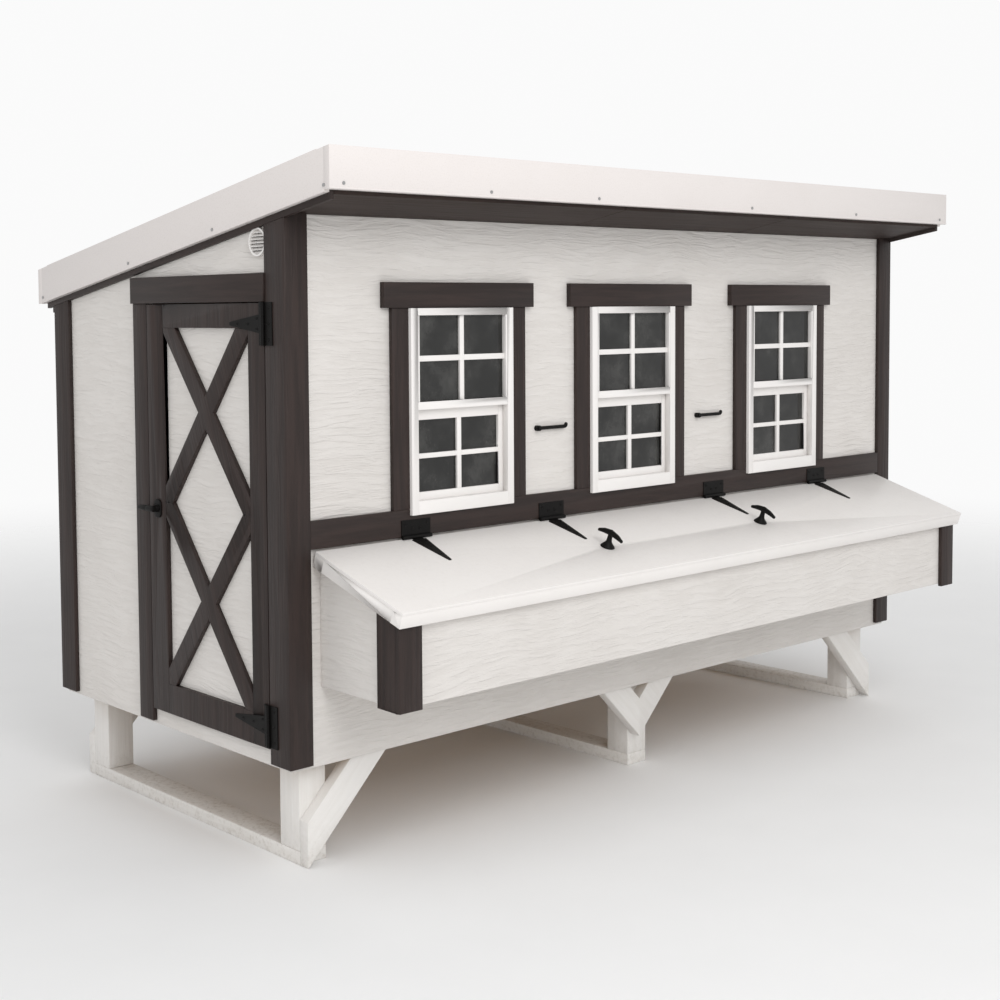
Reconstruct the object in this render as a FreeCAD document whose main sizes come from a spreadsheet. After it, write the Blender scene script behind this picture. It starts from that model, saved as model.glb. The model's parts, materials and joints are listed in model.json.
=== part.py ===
import FreeCAD
import Part
import Sketcher
import os
import re

# Chicken coop on three timber skid frames, with a mono-pitch roof, three sliding-sash windows, a row of
# nest boxes under one hinged lid, a braced access door in the left end and a sliding hen door in the
# right end.  Lengths are in millimetres and angles in degrees.
# Layout axes used below: u runs right from the outer face of the left corner trim, v runs back from the
# outer face of the front corner trim, and z runs up from the ground.

SIZES = {
    # body
    "body_length": 2840,
    "body_depth": 1242,
    "siding": 12,
    "board": 14,
    "trim_width": 76,
    "siding_bottom": 279,
    "trim_bottom": 289,
    "stud": 38,
    "gap": 1,
    # skid frames
    "post": 89,
    "plank": 38,
    "brace_setback": 29,
    "skid_inset": 76,
    "skid_middle": 1455,
    "middle_brace_foot": 104,
    "middle_brace_shift": 15,
    # floor
    "joist_bottom": 280,
    "joist_height": 38,
    "deck": 9,
    # roof
    "roof_front_top": 1905,
    "roof_pitch": 10,
    "roof_front_overhang": 218,
    "roof_rear_overhang": 68,
    "roof_side_overhang": 18,
    "roof_metal": 2,
    "roof_deck": 12,
    "rafter_depth": 89,
    "soffit": 10,
    "edge_metal_height": 109,
    "edge_board": 24,
    "rake_drop": 17,
    "rear_frieze_height": 45,
    "rear_frieze": 35,
    "screw_head": 2,
    "screw_radius": 4.5,
    "screw_margin": 16,
    "soffit_seam_1": 1105,
    "soffit_seam_2": 1910,
    "rib_width": 22,
    "rib_height": 9,
    # belt rail
    "belt_bottom": 867,
    "belt_top": 943,
    # windows
    "window_1": 620,
    "window_2": 1358,
    "window_3": 2148,
    "frame_width": 396,
    "frame_bottom": 926,
    "frame_height": 576,
    "frame_proud": 10,
    "frame_depth": 48,
    "frame_side": 25,
    "frame_head": 20,
    "frame_sill": 38,
    "upper_light": 241,
    "upper_side": 31,
    "meeting_rail": 22,
    "muntin": 16,
    "muntin_depth": 8,
    "pane": 3,
    "casing_width": 60,
    "header_height": 71,
    "header_overhang": 31,
    "sash_cover": 8,
    "sash_depth": 14,
    "sash_stile": 25,
    "sash_top_rail": 38,
    "sash_bottom_rail": 30,
    "sash_play": 0.8,
    "sash_travel": 230,
    "track_front": 21,
    # nest boxes
    "nest_margin": 24,
    "nest_reach": 328,
    "nest_bottom": 494,
    "nest_trim_drop": 8,
    "nest_dividers": 7,
    "nest_mouth_top": 806,
    "nest_mouth_inset": 140,
    # nest lid
    "lid_pitch": 18,
    "lid_back_height": 862,
    "lid_back_gap": 1,
    "lid_length": 371,
    "lid_skin": 9,
    "lid_frame_depth": 35,
    "lid_rail": 38,
    "lid_side_overhang": 10,
    "lid_rest_gap": 1.5,
    # lid hinges
    "lid_hinge_1": 441,
    "lid_hinge_2": 984,
    "lid_hinge_3": 1767,
    "lid_hinge_4": 2358,
    "pin_radius": 3,
    "knuckle_radius": 5.5,
    "pin_clearance": 0.05,
    "leaf": 2.5,
    "lid_leaf_width": 106,
    "lid_leaf_height": 50,
    "lid_strap_length": 146,
    "lid_strap_root": 50,
    "strap_tip": 12,
    # lid handles
    "lid_handle_1": 1012,
    "lid_handle_2": 1754,
    "lid_handle_reach": 212,
    "handle_base_radius": 22,
    "handle_base": 9,
    "handle_stem_radius": 8,
    "handle_stem": 46,
    "handle_bar": 100,
    "handle_bar_radius": 8,
    "handle_droop": 8,
    "cam_length": 64,
    "cam_width": 16,
    "cam": 4,
    # hold-open hooks
    "hook_start_1": 0.257,
    "hook_start_2": 0.277,
    "hook_share": 0.54,
    "hook_height": 1140,
    "hook_radius": 5.5,
    "hook_stand_off": 10,
    "hook_curl": 6.5,
    "eye_radius": 6.5,
    "eye_plate_radius": 8,
    "hook_ring_wall": 3,
    # access door
    "door_width": 588,
    "door_gap": 3,
    "door_bottom": 329,
    "door_top": 1519,
    "door_panel": 18,
    "door_stile": 74,
    "door_latch_stile": 88,
    "door_top_rail": 67,
    "door_bottom_rail": 87,
    "door_brace_width": 57,
    "door_cross_share": 0.515,
    "door_cam_room": 41,
    "door_header_height": 76,
    "door_header_overhang": 6,
    "door_casing_width": 74,
    "door_header_proud": 5,
    "door_hinge_top": 1464,
    "door_hinge_bottom": 392,
    "door_pin_proud": 6,
    "door_leaf_width": 36,
    "door_leaf_height": 114,
    "door_strap_length": 158,
    "door_strap_root": 52,
    "latch_height": 927,
    "latch_inset": 48,
    "latch_plate_width": 36,
    "latch_plate_height": 54,
    "latch_plate": 5,
    "latch_lever": 73,
    "latch_stand_off": 22,
    "latch_cam": 74,
    "lever_radius": 9,
    "spindle_radius": 6,
    # vent
    "vent_gap": 0.5,
    "vent_height": 1680,
    "vent_radius": 38,
    # roosts
    "roost_side": 40,
    "roost_front_gap": 27,
    "roost_share": 0.644,
    "roost_height": 900,
    # hen door
    "hen_door_rear_gap": 182,
    "hen_door_width": 300,
    "hen_door_height": 350,
    "hen_door_lap": 18,
    "hen_door_panel": 9,
    "hen_door_guide": 30,
    "hen_door_travel": 340,
}

doc = FreeCAD.newDocument("ChickenCoop")
sheet = doc.addObject("Spreadsheet::Sheet", "Sizes")
for row, (name, value) in enumerate(SIZES.items(), start=1):
    sheet.set(f"A{row}", name)
    sheet.set(f"B{row}", str(value))
    sheet.setAlias(f"B{row}", name)
probe = doc.addObject("App::FeaturePython", "Probe")
probe.addProperty("App::PropertyFloat", "Value")
doc.recompute()

NAMES = re.compile(r"\b(" + "|".join(sorted(SIZES, key=len, reverse=True)) + r")\b")

# Where the model's origin lies in the layout axes: the middle of the whole coop's footprint.
HANDLE_PROUD = "(latch_stand_off + lever_radius)"
LID_FRONT = "(lid_back_gap + lid_length * cos(lid_pitch))"
MIDDLE_U = f"((body_length + roof_side_overhang + screw_head - {HANDLE_PROUD}) / 2)"
MIDDLE_V = f"((body_depth + roof_rear_overhang - {LID_FRONT}) / 2)"

# Derived heights and faces.
DECK_TOP = "(joist_bottom + joist_height + deck)"
RAFTER_TOP = "(-(roof_metal + roof_deck))"
RAFTER_FOOT = "(-(roof_metal + roof_deck + rafter_depth))"
SOFFIT_FOOT = "(-(roof_metal + roof_deck + rafter_depth + soffit))"
ROOF_RUN = "(roof_front_overhang + body_depth + roof_rear_overhang)"
INNER = "(board + siding)"
CORNER_SIDE = "(board + trim_width)"
LID_DEPTH = "(lid_skin + lid_frame_depth)"
HEADER_FOOT = "(frame_bottom + frame_height + gap)"
NEST_INSET = "(trim_width + nest_margin)"
VENT_V = f"({CORNER_SIDE} + vent_radius + vent_gap)"
HEN_DOOR_V = "(body_depth - hen_door_rear_gap - hen_door_width)"
# each hook keeps to its share of the wall between two window casings
HOOK_ROOM_1 = "(window_2 - window_1 - frame_width - 2 * casing_width)"
HOOK_ROOM_2 = "(window_3 - window_2 - frame_width - 2 * casing_width)"
HOOK_LENGTH = f"(hook_share * {HOOK_ROOM_1})"
HOOK_PLACES = {
    "left": f"(window_1 + frame_width / 2 + casing_width + hook_start_1 * {HOOK_ROOM_1})",
    "right": f"(window_2 + frame_width / 2 + casing_width + hook_start_2 * {HOOK_ROOM_2})",
}


def bound(text):
    """Expression text with every size name turned into its spreadsheet cell."""
    return NAMES.sub(r"Sizes.\1", str(text))


def bind(thing, prop, text):
    thing.setExpression(prop, bound(text))


def move(thing, u, v, z):
    """Put an upright object's corner at layout position u, v, z."""
    bind(thing, "Placement.Base.x", f"{u} - {MIDDLE_U}")
    bind(thing, "Placement.Base.y", f"{v} - {MIDDLE_V}")
    bind(thing, "Placement.Base.z", z)


def turn(thing, axis, angle):
    thing.Placement = FreeCAD.Placement(FreeCAD.Vector(), FreeCAD.Rotation(FreeCAD.Vector(*axis), 1))
    bind(thing, "Placement.Rotation.Angle", angle)


def box(label, corner, size):
    thing = doc.addObject("Part::Box", label)
    for prop, text in zip(("Length", "Width", "Height"), size):
        bind(thing, prop, text)
    move(thing, *corner)
    return thing


def rod(label, centre, axis, radius, height):
    """Cylinder whose foot is at centre and which runs along +x, +y or +z."""
    thing = doc.addObject("Part::Cylinder", label)
    bind(thing, "Radius", radius)
    bind(thing, "Height", height)
    turns = {"x": ((0, 1, 0), 90), "y": ((-1, 0, 0), 90), "z": ((0, 0, 1), 0)}
    direction, angle = turns[axis]
    thing.Placement = FreeCAD.Placement(FreeCAD.Vector(), FreeCAD.Rotation(FreeCAD.Vector(*direction), angle))
    move(thing, *centre)
    return thing


def ball(label, centre, radius):
    thing = doc.addObject("Part::Sphere", label)
    bind(thing, "Radius", radius)
    move(thing, *centre)
    return thing


def roof_box(label, u, length, start, stop, low, high):
    """Box in the roof's plane: start and stop run down the slope from the front edge, low and high
    are measured square to the slope from the top face of the roof."""
    thing = doc.addObject("Part::Box", label)
    bind(thing, "Length", length)
    bind(thing, "Width", f"{stop} - ({start})")
    bind(thing, "Height", f"{high} - ({low})")
    turn(thing, (-1, 0, 0), "roof_pitch")
    v = f"-roof_front_overhang + ({start}) * cos(roof_pitch) + ({low}) * sin(roof_pitch)"
    z = f"roof_front_top - ({start}) * sin(roof_pitch) + ({low}) * cos(roof_pitch)"
    move(thing, u, v, z)
    return thing


def lid_place(thing, u, reach, height):
    """Place on the lid's slope: reach runs down the slope from the back edge, height is above its top."""
    v = f"-lid_back_gap - ({reach}) * cos(lid_pitch) - ({height}) * sin(lid_pitch)"
    z = f"lid_back_height - ({reach}) * sin(lid_pitch) + ({height}) * cos(lid_pitch)"
    move(thing, u, v, z)


def lid_box(label, u, length, near, far, low, high):
    thing = doc.addObject("Part::Box", label)
    bind(thing, "Length", length)
    bind(thing, "Width", f"{far} - ({near})")
    bind(thing, "Height", f"{high} - ({low})")
    turn(thing, (1, 0, 0), "lid_pitch")
    lid_place(thing, u, far, low)
    return thing


def cut(label, base, *tools):
    for number, tool in enumerate(tools):
        result = doc.addObject("Part::Cut", label if number == len(tools) - 1 else f"{label}_cut")
        result.Base = base
        result.Tool = tool
        base = result
    return base


def common(label, base, tool):
    result = doc.addObject("Part::Common", label)
    result.Base = base
    result.Tool = tool
    return result


def fuse(label, *pieces):
    result = doc.addObject("Part::MultiFuse", label)
    result.Shapes = list(pieces)
    result.Refine = True
    return result


def group(label, *pieces):
    """Separate solids that make one named node."""
    result = doc.addObject("Part::Compound", label)
    result.Links = list(pieces)
    return result


def profile(label, outline, depth, x_to, y_to):
    """Body padded from a closed outline.  The outline's points are pairs of expressions in the body's own
    x and y, none of them negative.  x_to and y_to give the directions those two run in the layout."""
    body = doc.addObject("PartDesign::Body", label)
    sketch = body.newObject("Sketcher::SketchObject", f"{label}_outline")
    planes = {feature.Role: feature for feature in body.Origin.OriginFeatures}
    sketch.AttachmentSupport = (planes["XY_Plane"], [""])
    sketch.MapMode = "FlatFace"
    spots = [tuple(value_of(text) for text in point) for point in outline]
    count = len(spots)
    for number, spot in enumerate(spots):
        following = spots[(number + 1) % count]
        sketch.addGeometry(Part.LineSegment(FreeCAD.Vector(*spot, 0), FreeCAD.Vector(*following, 0)))
    for number in range(count):
        sketch.addConstraint(Sketcher.Constraint("Coincident", number, 2, (number + 1) % count, 1))
    for number, point in enumerate(outline):
        for kind, text, value, axis in zip(("DistanceX", "DistanceY"), point, spots[number], (-2, -1)):
            if text == "0":
                sketch.addConstraint(Sketcher.Constraint("PointOnObject", number, 1, axis))
            else:
                index = sketch.addConstraint(Sketcher.Constraint(kind, -1, 1, number, 1, value))
                bind(sketch, f"Constraints[{index}]", text)
    pad = body.newObject("PartDesign::Pad", f"{label}_pad")
    pad.Profile = sketch
    bind(pad, "Length", depth)
    across = FreeCAD.Vector(*x_to)
    up = FreeCAD.Vector(*y_to)
    body.Placement = FreeCAD.Placement(FreeCAD.Vector(), FreeCAD.Rotation(across, up, across.cross(up), "XYZ"))
    return body


def value_of(text):
    """Present value of an expression in the size names."""
    bind(probe, "Value", text)
    doc.recompute([probe])
    return probe.Value


# ---------------------------------------------------------------- derived expressions

def under_roof(v, depth):
    """Height of the surface that lies this far, square to the slope, below the roof's top at position v."""
    return f"(roof_front_top - (roof_front_overhang + {v}) * tan(roof_pitch) - ({depth}) / cos(roof_pitch))"


PACK = "(roof_metal + roof_deck + rafter_depth)"
FRONT_PLATE_TOP = under_roof(INNER, PACK)
REAR_PLATE_TOP = under_roof(f"(body_depth - {INNER} - stud)", PACK)
RIGHT = "(body_length - board)"
REAR = "(body_depth - board)"
INSIDE_LENGTH = f"(body_length - 2 * {INNER})"
INSIDE_DEPTH = f"(body_depth - 2 * {INNER})"
SLOPE_LENGTH = f"({ROOF_RUN} / cos(roof_pitch))"
FRAME_BACK = "(frame_depth - frame_proud)"
DOOR_EDGE = f"({CORNER_SIDE} + door_gap)"
DOOR_FAR = f"({DOOR_EDGE} + door_width)"
JAMB = f"({DOOR_FAR} + door_gap)"
JAMB_STUD = f"({JAMB} + door_cam_room)"
# the roosts share the room between the jamb stud and the rear corner stud
ROOST_FRONT_V = f"({JAMB_STUD} + stud + roost_front_gap)"
ROOST_SPACING = f"((body_depth - {INNER} - stud - {ROOST_FRONT_V}) * roost_share)"
ROOST_REAR_V = f"({ROOST_FRONT_V} + {ROOST_SPACING})"
HEN_FAR = f"({HEN_DOOR_V} + hen_door_width)"
skid_places = {
    "left": "skid_inset",
    "middle": "(skid_middle - post / 2)",
    "right": "(body_length - skid_inset - post)",
}
window_places = {number: f"(window_{number} - frame_width / 2)" for number in (1, 2, 3)}

# Large slabs that trim other pieces: the space above a given depth of the roof, and the clear space
# between the front and rear edge boards.


def roof_slab(label, depth):
    return roof_box(label, "-200", "body_length + 400", "-300", f"{SLOPE_LENGTH} + 300", f"-({depth})", "400")


above_soffit = roof_slab("above_soffit", f"{PACK} + soffit")
above_rafter_foot = roof_slab("above_rafter_foot", PACK)
above_rafter_top = roof_slab("above_rafter_top", "roof_metal + roof_deck")
above_rake_foot = roof_slab("above_rake_foot", "edge_metal_height + rake_drop")
above_roof = roof_slab("above_roof", "0")
roof_bay = box(
    "roof_bay",
    ("-200", "-roof_front_overhang + edge_board", "0"),
    ("body_length + 400", f"{ROOF_RUN} - 2 * edge_board", "roof_front_top + 200"),
)

# ---------------------------------------------------------------- skid frames

group("skid_runners", *(
    box(f"runner_{side}", (u, "brace_setback + plank", "0"),
        ("post", "body_depth - 2 * (brace_setback + plank)", "plank"))
    for side, u in skid_places.items()
))
LEG_FRONT = "(brace_setback + plank)"
LEG_REAR = "(body_depth - brace_setback - plank - post)"
group("skid_legs", *(
    box(f"leg_{side}_{end}", (u, v, "plank"), ("post", "post", "joist_bottom - plank"))
    for side, u in skid_places.items()
    for end, v in (("front", LEG_FRONT), ("rear", LEG_REAR))
))
BRACE_RISE = "post * sqrt(2)"
END_BRACE = (
    ("0", "0"),
    ("joist_bottom", "joist_bottom"),
    (f"joist_bottom - {BRACE_RISE}", "joist_bottom"),
    ("0", BRACE_RISE),
)
VEE_BRACE = (
    ("0", "middle_brace_foot"),
    ("joist_bottom - middle_brace_foot", "joist_bottom"),
    (f"joist_bottom - middle_brace_foot - {BRACE_RISE}", "joist_bottom"),
    ("0", f"middle_brace_foot + {BRACE_RISE}"),
)
VEE_JOINT = "(skid_middle - post / 2 + middle_brace_shift)"
braces = []
for end, v in (("front", "brace_setback"), ("rear", "(body_depth - brace_setback - plank)")):
    for name, outline, u, rightward in (
        ("left", END_BRACE, "skid_inset", True),
        ("vee_right", VEE_BRACE, VEE_JOINT, True),
        ("vee_left", VEE_BRACE, VEE_JOINT, False),
        ("right", END_BRACE, "(body_length - skid_inset)", False),
    ):
        sense = 1 if rightward else -1
        brace = profile(f"brace_{name}_{end}", outline, "plank", (sense, 0, 0), (0, 0, 1))
        # the pad runs forward when the outline runs right, and back when it runs left
        move(brace, u, f"{v} + plank" if rightward else v, "0")
        braces.append(brace)
group("skid_braces", *braces)

# ---------------------------------------------------------------- floor

FLOOR_EDGE = f"{INNER}"
floor_pieces = [
    box("rim_front", (FLOOR_EDGE, FLOOR_EDGE, "joist_bottom"), (INSIDE_LENGTH, "post", "joist_height")),
    box("rim_rear", (FLOOR_EDGE, f"body_depth - {INNER} - post", "joist_bottom"),
        (INSIDE_LENGTH, "post", "joist_height")),
]
JOIST_COUNT = 6
for number in range(JOIST_COUNT):
    u = f"{INNER} + {number} * ({INSIDE_LENGTH} - post) / {JOIST_COUNT - 1}"
    floor_pieces.append(box(f"joist_{number + 1}", (u, f"{INNER} + post", "joist_bottom"),
                            ("post", f"{INSIDE_DEPTH} - 2 * post", "joist_height")))
group("floor_frame", *floor_pieces)
box("floor_deck", (INNER, INNER, "joist_bottom + joist_height"), (INSIDE_LENGTH, INSIDE_DEPTH, "deck"))

# ---------------------------------------------------------------- walls

WALL_HEIGHT = "roof_front_top - siding_bottom"
window_holes = [
    box(f"window_hole_{number}", (u, "-100", "frame_bottom"), ("frame_width", "200", "frame_height"))
    for number, u in window_places.items()
]
front_sheet = box("front_sheet", ("board", "board", "siding_bottom"),
                  ("body_length - 2 * board", "siding", WALL_HEIGHT))
nest_mouth = box("nest_mouth", ("nest_mouth_inset", "-50", "nest_bottom + siding"),
                 ("body_length - 2 * nest_mouth_inset", "150", "nest_mouth_top - nest_bottom - siding"))
cut("front_siding", front_sheet, above_soffit, nest_mouth, *window_holes)
rear_sheet = box("rear_sheet", ("board", f"body_depth - {INNER}", "siding_bottom"),
                 ("body_length - 2 * board", "siding", WALL_HEIGHT))
cut("rear_siding", rear_sheet, above_rafter_foot)
door_hole = box("door_hole", ("-100", CORNER_SIDE, "door_bottom - door_gap"),
                ("200", "door_width + 2 * door_gap", "door_top - door_bottom + 2 * door_gap"))
vent_hole = rod("vent_hole", ("-100", VENT_V, "vent_height"), "x", "vent_radius", "200")
hen_hole = box("hen_hole", ("body_length - 100", HEN_DOOR_V, DECK_TOP),
               ("200", "hen_door_width", "hen_door_height"))
for side, u, holes in (("left", "board", (door_hole, vent_hole)), ("right", f"body_length - {INNER}", (hen_hole,))):
    sheet_side = box(f"{side}_sheet", (u, INNER, "siding_bottom"), ("siding", INSIDE_DEPTH, WALL_HEIGHT))
    cut(f"{side}_siding", sheet_side, above_rafter_top, *holes)

# stud frame inside the sheets
plates = {
    "front": box("front_plate", (INNER, INNER, f"{FRONT_PLATE_TOP} - stud"), (INSIDE_LENGTH, "stud", "stud")),
    "rear": box("rear_plate", (INNER, f"body_depth - {INNER} - stud", f"{REAR_PLATE_TOP} - stud"),
                (INSIDE_LENGTH, "stud", "stud")),
}
stud_list = list(plates.values())
front_studs = [INNER]
for number in (1, 2, 3):
    front_studs += [f"(window_{number} - frame_width / 2 - stud)", f"(window_{number} + frame_width / 2)"]
front_studs.append(f"(body_length - {INNER} - stud)")
for number, u in enumerate(front_studs):
    end_post = number in (0, len(front_studs) - 1)
    foot = DECK_TOP if end_post else "nest_mouth_top"
    stud_list.append(box(f"front_stud_{number + 1}", (u, INNER, foot),
                         ("stud", "stud", f"{FRONT_PLATE_TOP} - stud - {foot}")))
    rear_u = f"({INNER} + {number} * ({INSIDE_LENGTH} - stud) / {len(front_studs) - 1})"
    stud_list.append(box(f"rear_stud_{number + 1}", (rear_u, f"body_depth - {INNER} - stud", DECK_TOP),
                         ("stud", "stud", f"{REAR_PLATE_TOP} - stud - {DECK_TOP}")))
stud_list.append(box("nest_header", (f"{INNER} + stud", INNER, "nest_mouth_top - stud"),
                     (f"{INSIDE_LENGTH} - 2 * stud", "stud", "stud")))
SIDE_STUD_TOP = f"({under_roof(f'({JAMB_STUD} + stud)', PACK)} - 1)"
for side, u in (("left", INNER), ("right", f"(body_length - {INNER} - stud)")):
    stud_list.append(box(f"{side}_jamb_stud", (u, JAMB_STUD, DECK_TOP), ("stud", "stud", f"{SIDE_STUD_TOP} - {DECK_TOP}")))
stud_list.append(box("door_head_stud", (INNER, f"{INNER} + stud", "door_top + door_gap"),
                     ("stud", f"{JAMB_STUD} - {INNER} - stud", "stud")))
group("wall_frame", *stud_list)

# rake boards under the edges of the roof
RAKE_FOOT = "(-(edge_metal_height + rake_drop))"
rakes = {}
for side, u in (("left", "0"), ("right", RIGHT)):
    rake_board = roof_box(f"rake_board_{side}", u, "board", "0", SLOPE_LENGTH, RAKE_FOOT, RAFTER_TOP)
    rakes[side] = common(f"rake_{side}", rake_board, roof_bay)

# corner trims, each a front or rear board and a side board
for end, sign in (("front", 0), ("rear", 1)):
    for side, mirror in (("left", 0), ("right", 1)):
        face_v = "(body_depth - board)" if sign else "0"
        side_v = "(body_depth - board - trim_width)" if sign else "board"
        face_u = "(body_length - trim_width)" if mirror else "0"
        side_u = "(body_length - board)" if mirror else "0"
        face = box(f"face_{end}_{side}", (face_u, face_v, "trim_bottom"), ("trim_width", "board", WALL_HEIGHT))
        flank = box(f"flank_{end}_{side}", (side_u, side_v, "trim_bottom"), ("board", "trim_width", WALL_HEIGHT))
        under = above_rafter_foot if sign else above_soffit
        face_top = cut(f"face_top_{end}_{side}", face, under, rakes[side])
        flank_top = cut(f"flank_top_{end}_{side}", flank, above_rake_foot)
        group(f"corner_trim_{end}_{side}", face_top, flank_top)

belt = box("belt_board", ("trim_width", "0", "belt_bottom"),
           ("body_length - 2 * trim_width", "board", "belt_top - belt_bottom"))
cut("belt_rail", belt, *window_holes)

window_boards = []
for number, u in window_places.items():
    window_boards.append(box(f"window_header_{number}", (f"{u} - casing_width - header_overhang", "-5", HEADER_FOOT),
                             ("frame_width + 2 * (casing_width + header_overhang)", "board + 5", "header_height")))
    for side, place in (("left", f"{u} - casing_width"), ("right", f"{u} + frame_width")):
        window_boards.append(box(f"casing_{side}_{number}", (place, "0", "belt_top"),
                                 ("casing_width", "board", f"{HEADER_FOOT} - belt_top")))
group("window_trim", *window_boards)

CASING_FAR = f"({JAMB} + door_casing_width)"
group("door_trim",
      cut("door_header_trimmed",
          box("door_header", ("-door_header_proud", CORNER_SIDE, "door_top + door_gap"),
              ("board + door_header_proud", f"{CASING_FAR} + door_header_overhang - {CORNER_SIDE}",
               "door_header_height")),
          rakes["left"]),
      box("door_casing", ("0", JAMB, "trim_bottom"),
          ("board", "door_casing_width", "door_top + door_gap - trim_bottom")))

# ---------------------------------------------------------------- windows

LOWER_WIDTH = "(frame_width - 2 * frame_side)"
LOWER_FOOT = "(frame_bottom + frame_sill)"
UPPER_TOP = "(frame_bottom + frame_height - frame_head)"
UPPER_FOOT = f"({UPPER_TOP} - upper_light)"
RAIL_FOOT = f"({UPPER_FOOT} - meeting_rail)"
SASH_WIDTH = f"({LOWER_WIDTH} + 2 * sash_cover)"
SASH_HEIGHT = f"({RAIL_FOOT} - {LOWER_FOOT} + 2 * sash_cover)"
SASH_FOOT = f"({LOWER_FOOT} - sash_cover)"
TRACK = "(track_front - frame_proud)"
SLOT_DEPTH = "(sash_depth + 2 * sash_play)"
PANE_BITE = 6
upper_panes = []
for number, u in window_places.items():
    slot = box(f"slot_{number}", (f"{u} + frame_side - sash_cover - sash_play", TRACK, f"{SASH_FOOT} - sash_play"),
               (f"{SASH_WIDTH} + 2 * sash_play", SLOT_DEPTH, f"{SASH_HEIGHT} + sash_travel + 4"))
    pane_rebate = (f"{u} + upper_side - {PANE_BITE}", f"{TRACK} - pane - 2", f"{UPPER_FOOT} - {PANE_BITE}")
    pane_size = (f"frame_width - 2 * upper_side + 2 * {PANE_BITE}", "pane", f"upper_light + 2 * {PANE_BITE}")
    rebate = box(f"rebate_{number}", pane_rebate, pane_size)
    front = "-frame_proud"
    members = []
    for side, place in (("left", u), ("right", f"{u} + frame_width - frame_side")):
        jamb_box = box(f"window_jamb_{side}_{number}", (place, front, "frame_bottom"),
                       ("frame_side", "frame_depth", "frame_height"))
        members.append(cut(f"window_stile_{side}_{number}", jamb_box, slot, rebate))
    head = box(f"window_head_{number}", (f"{u} + frame_side", front, UPPER_TOP),
               (LOWER_WIDTH, "frame_depth", "frame_head"))
    members.append(cut(f"head_{number}", head, rebate))
    sill = box(f"window_sill_{number}", (f"{u} + frame_side", front, "frame_bottom"),
               (LOWER_WIDTH, "frame_depth", "frame_sill"))
    members.append(cut(f"sill_{number}", sill, slot))
    rail = box(f"window_rail_{number}", (f"{u} + frame_side", front, RAIL_FOOT),
               (LOWER_WIDTH, "track_front - sash_play", "meeting_rail"))
    members.append(cut(f"rail_{number}", rail, rebate))
    for side, place in (("left", f"{u} + frame_side"), ("right", f"{u} + frame_width - upper_side")):
        lip = box(f"window_lip_{side}_{number}", (place, front, UPPER_FOOT),
                  ("upper_side - frame_side", "track_front - sash_play", "upper_light"))
        members.append(cut(f"lip_{side}_{number}", lip, rebate))
    BAR_FRONT = f"({TRACK} - pane - 2 - muntin_depth)"
    members.append(box(f"upper_bar_{number}", (f"{u} + frame_width / 2 - muntin / 2", BAR_FRONT, UPPER_FOOT),
                       ("muntin", "muntin_depth", "upper_light")))
    for side, place in (("left", f"{u} + upper_side"), ("right", f"{u} + frame_width / 2 + muntin / 2")):
        members.append(box(f"upper_cross_{side}_{number}", (place, BAR_FRONT, f"{UPPER_FOOT} + upper_light / 2 - 8"),
                           ("frame_width / 2 - upper_side - muntin / 2", "muntin_depth", "16")))
    group(f"window_frame_{number}", *members)
    upper_panes.append(box(f"upper_pane_{number}", pane_rebate, pane_size))

    # sliding sash, behind the fixed light
    sash_u = f"({u} + frame_side - sash_cover)"
    sash_v = f"({TRACK} + sash_play)"
    glass_width = f"({SASH_WIDTH} - 2 * sash_stile)"
    glass_height = f"({SASH_HEIGHT} - sash_top_rail - sash_bottom_rail)"
    glass_place = (f"{sash_u} + sash_stile - {PANE_BITE}", f"{sash_v} + sash_depth - pane - 2",
                   f"{SASH_FOOT} + sash_bottom_rail - {PANE_BITE}")
    glass_size = (f"{glass_width} + 2 * {PANE_BITE}", "pane", f"{glass_height} + 2 * {PANE_BITE}")
    glass_slot = box(f"glass_slot_{number}", glass_place, glass_size)
    sash_members = []
    for side, place in (("left", sash_u), ("right", f"{sash_u} + {SASH_WIDTH} - sash_stile")):
        stile = box(f"sash_stile_box_{side}_{number}", (place, sash_v, SASH_FOOT),
                    ("sash_stile", "sash_depth", SASH_HEIGHT))
        sash_members.append(cut(f"sash_stile_{side}_{number}", stile, glass_slot))
    for part, z, height in (("bottom", SASH_FOOT, "sash_bottom_rail"),
                            ("top", f"{SASH_FOOT} + {SASH_HEIGHT} - sash_top_rail", "sash_top_rail")):
        sash_rail = box(f"sash_rail_box_{part}_{number}", (f"{sash_u} + sash_stile", sash_v, z),
                        (glass_width, "sash_depth", height))
        sash_members.append(cut(f"sash_rail_{part}_{number}", sash_rail, glass_slot))
    SASH_BAR_Z = f"({SASH_FOOT} + sash_bottom_rail)"
    sash_members.append(box(f"sash_bar_{number}", (f"{sash_u} + {SASH_WIDTH} / 2 - 8", sash_v, SASH_BAR_Z),
                            ("16", "sash_depth - pane - 2", glass_height)))
    for side, place in (("left", f"{sash_u} + sash_stile"), ("right", f"{sash_u} + {SASH_WIDTH} / 2 + 8")):
        sash_members.append(box(f"sash_cross_{side}_{number}",
                                (place, sash_v, f"{SASH_BAR_Z} + {glass_height} / 2 - 7"),
                                (f"{glass_width} / 2 - 8", "sash_depth - pane - 2", "14")))
    group(f"sash_{number}", *sash_members)
    box(f"sash_pane_{number}", glass_place, glass_size)
group("upper_panes", *upper_panes)

# ---------------------------------------------------------------- roof

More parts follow.
